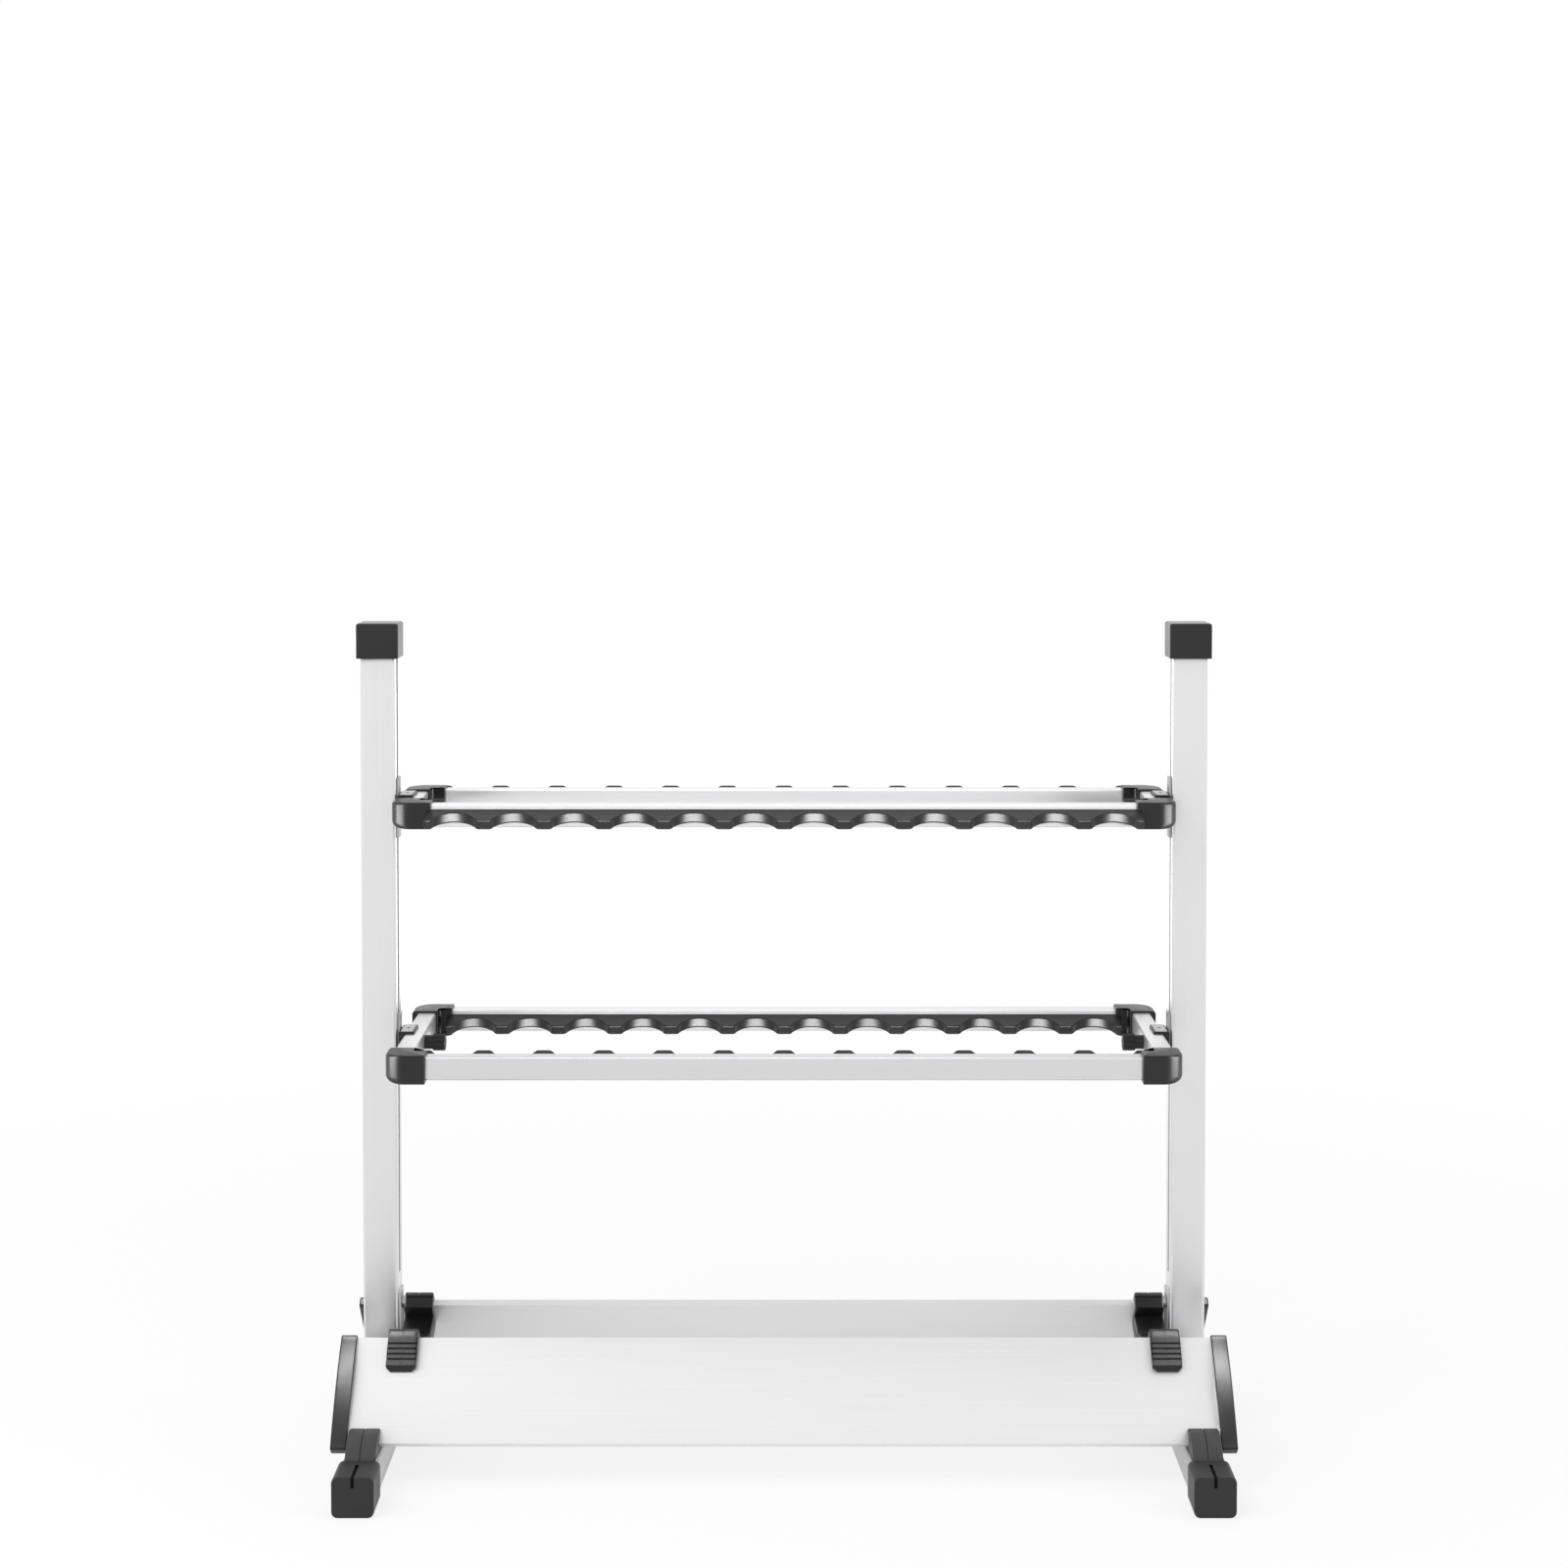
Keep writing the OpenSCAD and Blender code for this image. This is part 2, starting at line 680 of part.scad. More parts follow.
module corner(d, z, under) {
  y0 = -d / 2;
  low = z - rail_h / 2 - socket_gap;
  high = z + rail_h / 2 + socket_gap;
  corner_h = high + corner_wall - low + under;
  color(black) difference() {
    intersection() {
      translate([0, 0, low - under]) linear_extrude(corner_h) corner_plan(y0);
      translate([corner_end, y0 + corner_l, low - under + corner_h / 2]) rotate([90, 0, 0])
        linear_extrude(corner_l) round_rect(2 * corner_l, corner_h, corner_edge_r);
    }
    block([corner_end - cut, y0 + corner_wall, low],
      [rail_end + socket_gap, y0 + corner_shell + rail_d + socket_gap, high]);
    block([bar_in - socket_gap, y0 + corner_l - socket_l, low],
      [bar_out + socket_gap, y0 + corner_l + cut, high]);
  }
}

// Scalloped grip; its reach is drawn along Y from the rail's face. The hollows and the
// tips' shoulders are arcs that meet at the height shoulder_y.

module grip_outline() {
  difference() {
    translate([-grip_half, 0]) square([2 * grip_half, shoulder_y]);
    for (i = [0:places - 1])
      translate([-grip_half + (i + 0.5) * pitch, hollow_reach + hollow_r])
        circle(hollow_r, $fn = 96);
  }
  intersection() {
    translate([-grip_half, shoulder_y]) square([2 * grip_half, tip_reach]);
    for (i = [0:places]) translate([-grip_half + i * pitch, 0]) {
      for (s = [-1, 1]) translate([s * tip_flat, tip_reach - tip_r]) circle(tip_r);
      translate([-tip_flat, 0]) square([2 * tip_flat, tip_reach]);
    }
  }
}

module grip_section() {
  low_tip = grip_top - grip_drop - grip_t;
  polygon([
    [0, grip_top], [tip_reach, grip_top - grip_drop], [tip_reach, low_tip],
    [hollow_reach, low_tip + grip_rise], [0, low_tip + grip_rise]
  ]);
}

module grip_shape() {
  difference() {
    intersection() {
      translate([0, 0, -rail_h]) linear_extrude(2 * rail_h) grip_outline();
      along_x(0, 2 * grip_half) grip_section();
    }
    for (s = [-1, 1]) translate([s * grip_half, 0, 0])
      cube([2 * (grip_lap + slide_gap), 2 * grip_step, 2 * rail_h], center = true);
  }
}

// The lower grips look inwards and the upper ones outwards; the front lower one and
// the rear upper one are turned over, so that their tips stand level with the rail's top.
module grip(d, z, sy, inwards) {
  rail_out = d / 2 - corner_shell;
  face = inwards ? rail_out - rail_d : rail_out;
  looks = inwards ? -sy : sy;
  color(black) translate([0, sy * face, z])
    if (looks > 0) rotate([180, 0, 0]) mirror([0, 1, 0]) grip_shape();
    else mirror([0, 1, 0]) grip_shape();
}

// Saddle, steel pad, sliding nut and knob of a frame clamp

module saddle(z) {
  color(black) difference() {
    block([bar_out - saddle_cover, -saddle_d / 2, z - rail_h / 2 - socket_gap - saddle_wall],
      [pad_face, saddle_d / 2, z + rail_h / 2 + socket_gap + saddle_wall]);
    block([bar_in, -saddle_d / 2 - cut, z - rail_h / 2 - socket_gap],
      [bar_out + socket_gap, saddle_d / 2 + cut, z + rail_h / 2 + socket_gap]);
    rod_x(bar_out - cut, post_in + cut, 0, z, stud_r + shaft_gap);
  }
}

module slide_nuts(z) {
  color(steel) for (sx = [-1, 1]) placed(sx, 1) difference() {
    union() {
      block([nut_face, -nut_w / 2, z - nut_w / 2], [nut_face + nut_t, nut_w / 2, z + nut_w / 2]);
      block([pad_face, -pad_w / 2, z - pad_h / 2], [pad_face + pad_t, pad_w / 2, z + pad_h / 2]);
    }
    rod_x(pad_face - cut, nut_face + nut_t + cut, 0, z, stud_r + shaft_gap);
  }
}

module knob(z) {
  head = knob_face - hub_l;
  color(black) {
    difference() {
      rod_x(head - knob_l, head, 0, z, knob_r);
      for (i = [0:lobes - 1]) rotate_about(z, i * 360 / lobes)
        rod_x(head - knob_l - cut, head + cut, 0, z + knob_r + hollow_cut_out, hollow_cut_r);
    }
    rod_x(head, knob_face, 0, z, hub_r);
  }
  color(steel) rod_x(knob_face, nut_face + nut_t + stud_end, 0, z, stud_r);
}

// Turns a shape about the X line at height z
module rotate_about(z, angle) {
  translate([0, 0, z]) rotate([angle, 0, 0]) translate([0, 0, -z]) children();
}

module show(name) {
  children();
}

SIDES = [["left", -1], ["right", 1]];
ENDS = [["front", 1], ["rear", -1]];
FRAMES = [
  ["lower", lower_d, lower_z, lower_floor, true], ["upper", upper_d, upper_z, upper_floor, false]
];

for (s = SIDES) {
  show(str("foot_tube_", s[0])) placed(s[1], 1) foot_tube();
  show(str("post_", s[0])) placed(s[1], 1) post();
  show(str("post_cap_", s[0])) placed(s[1], 1) post_cap();
  show(str("post_strap_", s[0])) placed(s[1], 1) post_strap();
  show(str("latch_yoke_", s[0])) placed(s[1], 1) latch_yoke();
}
show("base_screws") base_screws();
show("latch_pins") latch_pins();
for (e = ENDS) {
  show(str("butt_plate_", e[0])) placed(1, e[1]) butt_plate();
  for (s = SIDES) {
    show(str("foot_cap_", e[0], "_", s[0])) placed(s[1], e[1]) foot_cap();
    show(str("plate_end_", e[0], "_", s[0])) placed(s[1], e[1]) plate_end();
    show(str("toe_clip_", e[0], "_", s[0])) placed(s[1], e[1]) toe_clip();
    show(str("latch_lever_", e[0], "_", s[0])) placed(s[1], e[1]) latch_lever();
  }
}
for (f = FRAMES) {
  for (e = ENDS) {
    show(str(f[0], "_rail_", e[0])) placed(1, e[1]) rail(f[1], f[2]);
    show(str(f[0], "_grip_", e[0])) grip(f[1], f[2], -e[1], f[4]);
    for (s = SIDES)
      show(str(f[0], "_corner_", e[0], "_", s[0])) placed(s[1], e[1]) corner(f[1], f[2], f[3]);
  }
  for (s = SIDES) {
    show(str(f[0], "_bar_", s[0])) placed(s[1], 1) side_bar(f[1], f[2]);
    show(str(f[0], "_saddle_", s[0])) placed(s[1], 1) saddle(f[2]);
    show(str(f[0], "_knob_", s[0])) placed(s[1], 1) knob(f[2]);
  }
  show(str(f[0], "_slide_nuts")) slide_nuts(f[2]);
}
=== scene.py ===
# %% [markdown]
# A rod rack of aluminium tube and black moulded plastic. Its posts, tubes, plates and
# joints come ready made, as fixed parts in metres. This lesson gives them their finishes,
# makes the soft-edged plastic pieces as worked-out surfaces, and sets camera and light.

# %% Load the fixed parts
import json
import math

import bmesh
import bpy
import numpy as np
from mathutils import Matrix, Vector

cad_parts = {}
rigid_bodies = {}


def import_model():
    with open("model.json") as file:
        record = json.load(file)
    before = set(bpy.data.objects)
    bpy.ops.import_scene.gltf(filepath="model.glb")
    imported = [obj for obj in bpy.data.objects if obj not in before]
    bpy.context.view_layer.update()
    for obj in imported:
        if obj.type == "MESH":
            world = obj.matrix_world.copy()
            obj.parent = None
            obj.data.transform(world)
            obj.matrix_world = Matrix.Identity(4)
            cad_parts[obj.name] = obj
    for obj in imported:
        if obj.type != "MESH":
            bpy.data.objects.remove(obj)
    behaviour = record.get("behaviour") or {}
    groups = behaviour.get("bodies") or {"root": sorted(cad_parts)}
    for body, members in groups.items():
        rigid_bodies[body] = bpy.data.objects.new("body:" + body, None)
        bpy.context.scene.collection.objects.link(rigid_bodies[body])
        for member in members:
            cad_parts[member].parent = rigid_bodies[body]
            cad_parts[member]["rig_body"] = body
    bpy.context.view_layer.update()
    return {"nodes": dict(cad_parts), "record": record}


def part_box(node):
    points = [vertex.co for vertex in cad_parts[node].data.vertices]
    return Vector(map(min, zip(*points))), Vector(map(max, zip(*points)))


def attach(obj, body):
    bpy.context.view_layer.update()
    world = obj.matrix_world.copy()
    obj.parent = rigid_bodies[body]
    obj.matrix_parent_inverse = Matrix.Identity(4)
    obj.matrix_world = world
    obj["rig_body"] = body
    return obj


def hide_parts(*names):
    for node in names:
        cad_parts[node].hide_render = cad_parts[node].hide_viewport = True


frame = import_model()
MM = 0.001
scene = bpy.context.scene

# %% [markdown]
# The photograph has upright lines that stay upright, so its camera looks nearly level and
# its picture is shifted down instead. A part of that shift is taken by a slight tilt here,
# because other views of the rack keep the shift and would be pushed off the picture.

# %% Camera
CAMERA_PLACE = (0.0, -2.272, 0.769)
CAMERA_TILT = 2.16
CAMERA_LENS = 68.88
CAMERA_SHIFT = -0.15
SENSOR_WIDTH = 36.0

camera_data = bpy.data.cameras.new("camera")
camera_data.lens = CAMERA_LENS
camera_data.sensor_width = SENSOR_WIDTH
camera_data.shift_y = CAMERA_SHIFT
camera = bpy.data.objects.new("camera", camera_data)
camera.location = CAMERA_PLACE
camera.rotation_euler = (math.radians(90.0 - CAMERA_TILT), 0.0, 0.0)
scene.collection.objects.link(camera)
scene.camera = camera
print("camera at", CAMERA_PLACE, "lens", CAMERA_LENS, "tilt", CAMERA_TILT, "shift", CAMERA_SHIFT)

# %% [markdown]
# Finishes are node trees. Effects that several of them share are node groups, built once:
# a fine moulded grain, and the long fine lines that brushing or drawing leaves in metal.

# %% Helpers for node trees


def add_node(tree, kind, **values):
    """Adds a node of that kind; values named with a leading _ set its inputs."""
    node = tree.nodes.new(kind)
    for name, value in values.items():
        if name.startswith("_"):
            node.inputs[name[1:].replace("_", " ")].default_value = value
        else:
            setattr(node, name, value)
    return node


def combined(tree, operation, first, second):
    """One socket made of two by a math node."""
    node = add_node(tree, "ShaderNodeMath", operation=operation)
    tree.links.new(first, node.inputs[0])
    tree.links.new(second, node.inputs[1])
    return node.outputs[0]


def new_group(name, inputs, outputs):
    """An empty node group with float inputs (name: default) and named outputs."""
    group = bpy.data.node_groups.new(name, "ShaderNodeTree")
    for label, default in inputs.items():
        socket = group.interface.new_socket(label, in_out="INPUT", socket_type="NodeSocketFloat")
        socket.default_value = default
    for label in outputs:
        group.interface.new_socket(label, in_out="OUTPUT", socket_type="NodeSocketFloat")
    return group, group.nodes.new("NodeGroupInput"), group.nodes.new("NodeGroupOutput")


# %% Grain group


def make_grain_group():
    """Two sizes of noise in object space, mixed into one height and one gloss change."""
    inputs = {"Scale": 900.0, "Patch": 22.0}
    group, ins, outs = new_group("moulded_grain", inputs, ["Height", "Gloss"])
    place = add_node(group, "ShaderNodeTexCoord")
    fine = add_node(group, "ShaderNodeTexNoise", _Detail=3.0, _Roughness=0.6)
    wide = add_node(group, "ShaderNodeTexNoise", _Detail=2.0, _Roughness=0.5)
    for noise, label in ((fine, "Scale"), (wide, "Patch")):
        group.links.new(place.outputs["Object"], noise.inputs["Vector"])
        group.links.new(ins.outputs[label], noise.inputs["Scale"])
    group.links.new(fine.outputs["Fac"], outs.inputs["Height"])
    group.links.new(wide.outputs["Fac"], outs.inputs["Gloss"])
    return group


grain_group = make_grain_group()

# %% Drawn-line group


def make_line_group():
    """Noise that is stretched along one axis: Along X, Y and Z say how fast it changes there."""
    inputs = {"Along X": 1.0, "Along Y": 1.0, "Along Z": 1.0}
    group, ins, outs = new_group("drawn_lines", inputs, ["Lines", "Bands"])
    place = add_node(group, "ShaderNodeTexCoord")
    stretch = add_node(group, "ShaderNodeCombineXYZ")
    for axis in "XYZ":
        group.links.new(ins.outputs["Along " + axis], stretch.inputs[axis])
    product = add_node(group, "ShaderNodeVectorMath", operation="MULTIPLY")
    group.links.new(place.outputs["Object"], product.inputs[0])
    group.links.new(stretch.outputs[0], product.inputs[1])
    lines = add_node(group, "ShaderNodeTexNoise", _Scale=1.0, _Detail=4.0, _Roughness=0.65)
    bands = add_node(group, "ShaderNodeTexNoise", _Scale=0.08, _Detail=1.0, _Roughness=0.5)
    for noise, label in ((lines, "Lines"), (bands, "Bands")):
        group.links.new(product.outputs[0], noise.inputs["Vector"])
        group.links.new(noise.outputs["Fac"], outs.inputs[label])
    return group


line_group = make_line_group()
print("node groups", grain_group.name, line_group.name)

# %% Steps that both kinds of material share
NOISE_LOW = 0.3
NOISE_HIGH = 0.7


def spread(tree, socket, low, high):
    """Maps the span in which noise mostly stays onto low to high."""
    node = add_node(tree, "ShaderNodeMapRange", _From_Min=NOISE_LOW, _From_Max=NOISE_HIGH,
                    _To_Min=low, _To_Max=high)
    tree.links.new(socket, node.inputs["Value"])
    return node.outputs["Result"]


def tint(tree, socket, dark, light):
    """Mixes two colours by a value."""
    node = add_node(tree, "ShaderNodeMix", data_type="RGBA")
    sockets = [s for s in node.inputs if s.type == "RGBA"]
    sockets[0].default_value = (*dark, 1.0)
    sockets[1].default_value = (*light, 1.0)
    tree.links.new(socket, node.inputs["Factor"])
    return [s for s in node.outputs if s.type == "RGBA"][0]


def bumped(tree, height, strength, distance):
    """A normal from a height."""
    node = add_node(tree, "ShaderNodeBump", _Strength=strength, _Distance=distance)
    tree.links.new(height, node.inputs["Height"])
    return node.outputs["Normal"]


def blank_material(name):
    """A new material, its node tree and the Principled shader in it."""
    material = bpy.data.materials.new(name)
    material.use_nodes = True
    tree = material.node_tree
    return material, tree, tree.nodes["Principled BSDF"]


# %% Plastic and metal makers
SOFT_SPECULAR = 0.3
GRAIN_DEPTH = 0.00012
LINE_DEPTH = 0.00005


def plastic(name, dark, light, rough, grain, bump):
    """Moulded plastic: a slight change of colour and gloss, and a fine grain in relief."""
    material, tree, shader = blank_material(name)
    group = add_node(tree, "ShaderNodeGroup", node_tree=grain_group)
    group.inputs["Scale"].default_value = grain
    shader.inputs["Specular IOR Level"].default_value = SOFT_SPECULAR
    tree.links.new(tint(tree, group.outputs["Gloss"], dark, light), shader.inputs["Base Color"])
    tree.links.new(spread(tree, group.outputs["Gloss"], *rough), shader.inputs["Roughness"])
    tree.links.new(bumped(tree, group.outputs["Height"], bump, GRAIN_DEPTH), shader.inputs["Normal"])
    return material


def drawn_metal(name, dark, light, rough, stretch, bump, metallic=1.0):
    """Metal with long lines: stretch gives how fast they change along X, Y and Z."""
    material, tree, shader = blank_material(name)
    group = add_node(tree, "ShaderNodeGroup", node_tree=line_group)
    for axis, value in zip("XYZ", stretch):
        group.inputs["Along " + axis].default_value = value
    shader.inputs["Metallic"].default_value = metallic
    tree.links.new(tint(tree, group.outputs["Lines"], dark, light), shader.inputs["Base Color"])
    tree.links.new(spread(tree, group.outputs["Lines"], *rough), shader.inputs["Roughness"])
    tree.links.new(bumped(tree, group.outputs["Lines"], bump, LINE_DEPTH), shader.inputs["Normal"])
    return material


# %% [markdown]
# The tubes are satin anodised aluminium with faint lines along their length, so each finish
# has its lines along its own axis: X for the rails, Y for feet and side bars, Z for posts.
# The plates are brushed along X. The black parts differ in gloss, from dull grained caps to
# smooth end strips. One plain black for all would lose that. Each call gives the darkest
# and lightest colour, the roughness from and to, how fine the pattern is, and its relief.
# A last number below one makes a metal less metallic, as a pale anodised skin is.

# %% Metal finishes
FINE = 2600.0
SLOW = 6.0
BRUSHED = 900.0
ROLLED = 700.0
SATIN = (0.30, 0.42)
SMOOTHER = (0.28, 0.40)
LINE_RELIEF = 0.12
ANODISED = 0.85
ALONG_X, ALONG_Y, ALONG_Z = (SLOW, FINE, FINE), (FINE, SLOW, FINE), (FINE, FINE, SLOW)

finish_post = drawn_metal("satin_post", (0.72, 0.72, 0.73), (0.82, 0.82, 0.83), SATIN,
                          ALONG_Z, LINE_RELIEF, ANODISED)
finish_foot = drawn_metal("satin_foot_tube", (0.46, 0.46, 0.47), (0.54, 0.54, 0.55), SATIN,
                          ALONG_Y, LINE_RELIEF, ANODISED)
finish_bar = drawn_metal("satin_bar", (0.80, 0.80, 0.81), (0.89, 0.89, 0.90), SATIN,
                         ALONG_Y, LINE_RELIEF, ANODISED)
finish_rail = drawn_metal("satin_rail", (0.81, 0.81, 0.82), (0.90, 0.90, 0.91), SMOOTHER,
                          ALONG_X, LINE_RELIEF, ANODISED)
# Painted shade: the rail finish made darker, for the lower front rail alone.
front_rail_painted_shade = drawn_metal("satin_front_rail", (0.64, 0.64, 0.65), (0.73, 0.73, 0.74),
                                SMOOTHER, ALONG_X, LINE_RELIEF, ANODISED)
finish_plate = drawn_metal("brushed_plate", (0.76, 0.76, 0.765), (0.85, 0.85, 0.855),
                           (0.34, 0.46), (SLOW, BRUSHED, BRUSHED), 0.15, 0.4)
finish_steel = drawn_metal("zinc_steel", (0.42, 0.42, 0.43), (0.55, 0.55, 0.56), SMOOTHER,
                           (ROLLED, ROLLED, ROLLED), 0.1)
print("metals", [m.name for m in (finish_post, finish_foot, finish_bar, finish_rail,
                                  front_rail_painted_shade, finish_plate, finish_steel)])

# %% Plastic and rubber finishes
CAP_GRAIN = 1100.0

finish_black = plastic("black_moulding", (0.010, 0.010, 0.011), (0.016, 0.016, 0.017),
                       (0.28, 0.36), 1400.0, 0.15)
finish_cap = plastic("grained_cap", (0.018, 0.018, 0.019), (0.030, 0.030, 0.031),
                     (0.42, 0.52), CAP_GRAIN, 0.6)
# Painted shade: near-black for the faces in the foot caps' slits, where hardly any light reaches.
painted_slit_shade = plastic("slit_shadow", (0.002, 0.002, 0.002), (0.003, 0.003, 0.003),
                      (0.9, 1.0), CAP_GRAIN, 0.1)
finish_strip = plastic("end_strip", (0.014, 0.014, 0.015), (0.020, 0.020, 0.021),
                       (0.24, 0.30), 1500.0, 0.1)
finish_clip = plastic("satin_clip", (0.048, 0.048, 0.049), (0.060, 0.060, 0.061),
                      (0.40, 0.48), CAP_GRAIN, 0.2)
finish_post_cap = plastic("post_cap", (0.014, 0.014, 0.015), (0.022, 0.022, 0.023),
                          (0.20, 0.26), CAP_GRAIN, 0.1)
finish_grip = plastic("grip_rubber", (0.009, 0.009, 0.0095), (0.015, 0.015, 0.016),
                      (0.36, 0.42), 1800.0, 0.1)
print("plastics", [m.name for m in (finish_black, finish_cap, painted_slit_shade, finish_strip,
                                    finish_clip, finish_post_cap, finish_grip)])

# %% [markdown]
# Shiny and dull pieces want different light, as in a studio where black cards and white
# panels are set up for one surface at a time. A lamp here can reach one group of pieces
# alone, so every piece is put in its groups by its name while it is made.

# %% Groups for the lamps
LAMP_GROUPS = {
    "tubes": ("foot_tube", "post_left", "post_right", "_rail_", "_bar_", "post_strap"),
    "posts": ("post_left", "post_right"),
    "upper_scallops": ("upper_grip_front", "upper_grip_rear"),
    "lower_scallops": ("lower_grip_front", "lower_grip_rear"),
    "round_ends": ("_corner_", "_knob_"),
    "strips": ("plate_end",),
    "levers": ("latch_lever",),
    "plates": ("butt_plate",),
}
lamp_groups = {name: bpy.data.collections.new(name) for name in LAMP_GROUPS}
print("lamp groups", list(lamp_groups))


def lit(piece):
    """Puts a piece in the groups that the narrow lamps reach, by its name."""
    for name, marks in LAMP_GROUPS.items():
        if any(mark in piece.name for mark in marks):
            lamp_groups[name].objects.link(piece)


# %% [markdown]
# A sharp modelled edge never catches the light, while every real moulding and tube has a
# small round there. The metal parts and the yokes keep their shape. A copy of each is
# merged into clean faces and gets a live bevel, and the copy then stands for the part.

# %% Clean copies
SAME_POINT = 2e-6
SAME_FACE = math.radians(0.4)


def clean_mesh(source, name):
    """A copy of a mesh with its doubles merged and its flat facets joined into whole faces."""
    mesh = bpy.data.meshes.new(name)
    build = bmesh.new()
    build.from_mesh(source)
    bmesh.ops.remove_doubles(build, verts=build.verts, dist=SAME_POINT)
    bmesh.ops.dissolve_limit(build, angle_limit=SAME_FACE, verts=build.verts,
                             edges=build.edges, use_dissolve_boundaries=False)
    build.to_mesh(mesh)
    build.free()
    return mesh


# %% Soft-edged copies
EDGE_ANGLE = math.radians(32.0)
EDGE_SEGMENTS = 2
EDGE_WIDTH = {"aluminium_tube": 0.3 * MM, "butt_plate": 0.3 * MM, "steel": 0.2 * MM,
              "black_plastic": 0.6 * MM}
SLOT_OF = {row["node"]: row["material_slot"] for row in frame["record"]["subparts"]}


def softened(node, material):
    """A part's copy with rounded edges; it rides where the part rides and replaces it."""
    source = frame["nodes"][node]
    piece = bpy.data.objects.new(node + "_soft", clean_mesh(source.data, node + "_soft"))
    scene.collection.objects.link(piece)
    piece.data.materials.append(material)
    piece.data.polygons.foreach_set("use_smooth", [True] * len(piece.data.polygons))
    bevel = piece.modifiers.new("edges", "BEVEL")
    bevel.width = EDGE_WIDTH[SLOT_OF[node]]
    bevel.segments = EDGE_SEGMENTS
    bevel.limit_method = "ANGLE"
    bevel.angle_limit = EDGE_ANGLE
    bevel.use_clamp_overlap = True
    bevel.harden_normals = True
    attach(piece, source["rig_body"])
    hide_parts(node)
    lit(piece)


# %% The parts that keep their shape
# The lower front rail takes the darker copy of the rail finish, which is painted shade.
FINISH_BY_MARK = (
    ("foot_tube", finish_foot), ("_bar_", finish_bar), ("lower_rail_front", front_rail_painted_shade),
    ("_rail_", finish_rail), ("post_left", finish_post), ("post_right", finish_post),
    ("butt_plate", finish_plate), ("post_strap", finish_steel), ("base_screws", finish_steel),
    ("latch_pins", finish_steel), ("slide_nuts", finish_steel), ("latch_yoke", finish_black))
kept = {}
for node in sorted(frame["nodes"]):
    finishes = [finish for mark, finish in FINISH_BY_MARK if mark in node]
    if finishes:
        kept[node] = finishes[0]
for node, finish in kept.items():
    softened(node, finish)
print("softened", len(kept))

# %% [markdown]
# Black mouldings are made anew as surfaces. Each is an outline with rounded corners that
# is carried along a line, and near both ends the outline draws in along a quarter circle,
# as the edges of a real moulding do. Short straight steps beside each round keep the flat
# faces flat when the surface is shaded smooth.

# %% Arcs and boxes


def arc(centre, radius, start, end, count):
    """Points on a circle between two angles: centre + radius times (cos, sin)."""
    angles = np.linspace(start, end, count)
    return np.asarray(centre) + radius * np.stack([np.cos(angles), np.sin(angles)], 1)


def short_arc(centre, radius, start, end, count):
    """Points on a circle from one point of it to another, the short way round."""
    first, last = start - centre, end - centre
    angle = math.atan2(first[1], first[0])
    turn = (math.atan2(last[1], last[0]) - angle + math.pi) % (2.0 * math.pi) - math.pi
    return arc(centre, radius, angle, angle + turn, count)


def rectangle(low, high, inset=(0.0, 0.0)):
    """The four corners of a box in X and Y, each moved inwards by the inset."""
    across, along = inset
    return [(low.x + across, low.y + along), (high.x - across, low.y + along),
            (high.x - across, high.y - along), (low.x + across, high.y - along)]


# %% Rounded outlines
SUPPORT = 0.12 * MM
NEARLY_STRAIGHT = 1.55


def round_outline(corners, radii, steps=6):
    """A closed outline: every corner becomes an arc that touches both of its sides, with a
    support point each side. With half the corner's angle h, it touches them at radius / tan h
    from the corner, and its centre is radius / sin h from it, on the line that halves it."""
    corners = np.asarray(corners, float)
    count = len(corners)
    radii = np.broadcast_to(np.asarray(radii, float), (count,))
    points = []
    for i in range(count):
        here, before, after = corners[i], corners[i - 1], corners[(i + 1) % count]
        back = (before - here) / np.linalg.norm(before - here)
        ahead = (after - here) / np.linalg.norm(after - here)
        half = 0.5 * math.acos(float(np.clip(back @ ahead, -1.0, 1.0)))
        if radii[i] <= 0.0 or half > NEARLY_STRAIGHT:
            points.append(here[None])
            continue
        touch = radii[i] / math.tan(half)
        middle = here + (back + ahead) / np.linalg.norm(back + ahead) * radii[i] / math.sin(half)
        first, last = here + back * touch, here + ahead * touch
        turn = short_arc(middle, radii[i], first, last, steps + 1)
        points.append(np.vstack([turn[0] + back * SUPPORT, turn, turn[-1] + ahead * SUPPORT]))
    return np.vstack(points)


def inward(outline):
    """The inward unit normal at each point: the two neighbouring side directions, turned."""
    side = np.roll(outline, -1, 0) - np.roll(outline, 1, 0)
    normal = np.stack([-side[:, 1], side[:, 0]], 1)
    normal /= np.maximum(np.linalg.norm(normal, axis=1, keepdims=True), 1e-12)
    following = np.roll(outline, -1, 0)
    area = np.sum(outline[:, 0] * following[:, 1] - following[:, 0] * outline[:, 1])
    return normal if area > 0.0 else -normal


# %% Stations along a moulding


def soft_ends(start, end, first, last=None, steps=4):
    """Stations (place along, draw-in) whose ends follow quarter circles of two radii: at an
    angle a of its circle, the place is radius times 1 - cos a, the draw-in 1 - sin a."""
    last = first if last is None else last
    angles = np.linspace(0.0, 0.5 * math.pi, steps + 1)
    rise, fall = 1.0 - np.cos(angles), 1.0 - np.sin(angles)
    head = np.stack([start + first * rise, first * fall], 1)
    tail = np.stack([end - last * rise, last * fall], 1)[::-1]
    return np.vstack([[start, first + SUPPORT * 2], head, tail, [end, last + SUPPORT * 2]])


# %% Rings


def with_place(rings, places):
    """Adds each ring's place along the line as the third number of all its points."""
    along = np.broadcast_to(places[:, None, None], (*rings.shape[:2], 1))
    return np.concatenate([rings, along], -1)


def carried(outline, stations, share=None):
    """Outline points drawn in at each station: (station, point, [a, b, along]). A point moves
    along its inward normal by the station's draw-in times its own share."""
    pull = inward(outline) * (1.0 if share is None else share[:, None])
    return with_place(outline[None] + stations[:, 1, None, None] * pull[None], stations[:, 0])


# %% Meshes from rings
CREASE = math.radians(38.0)


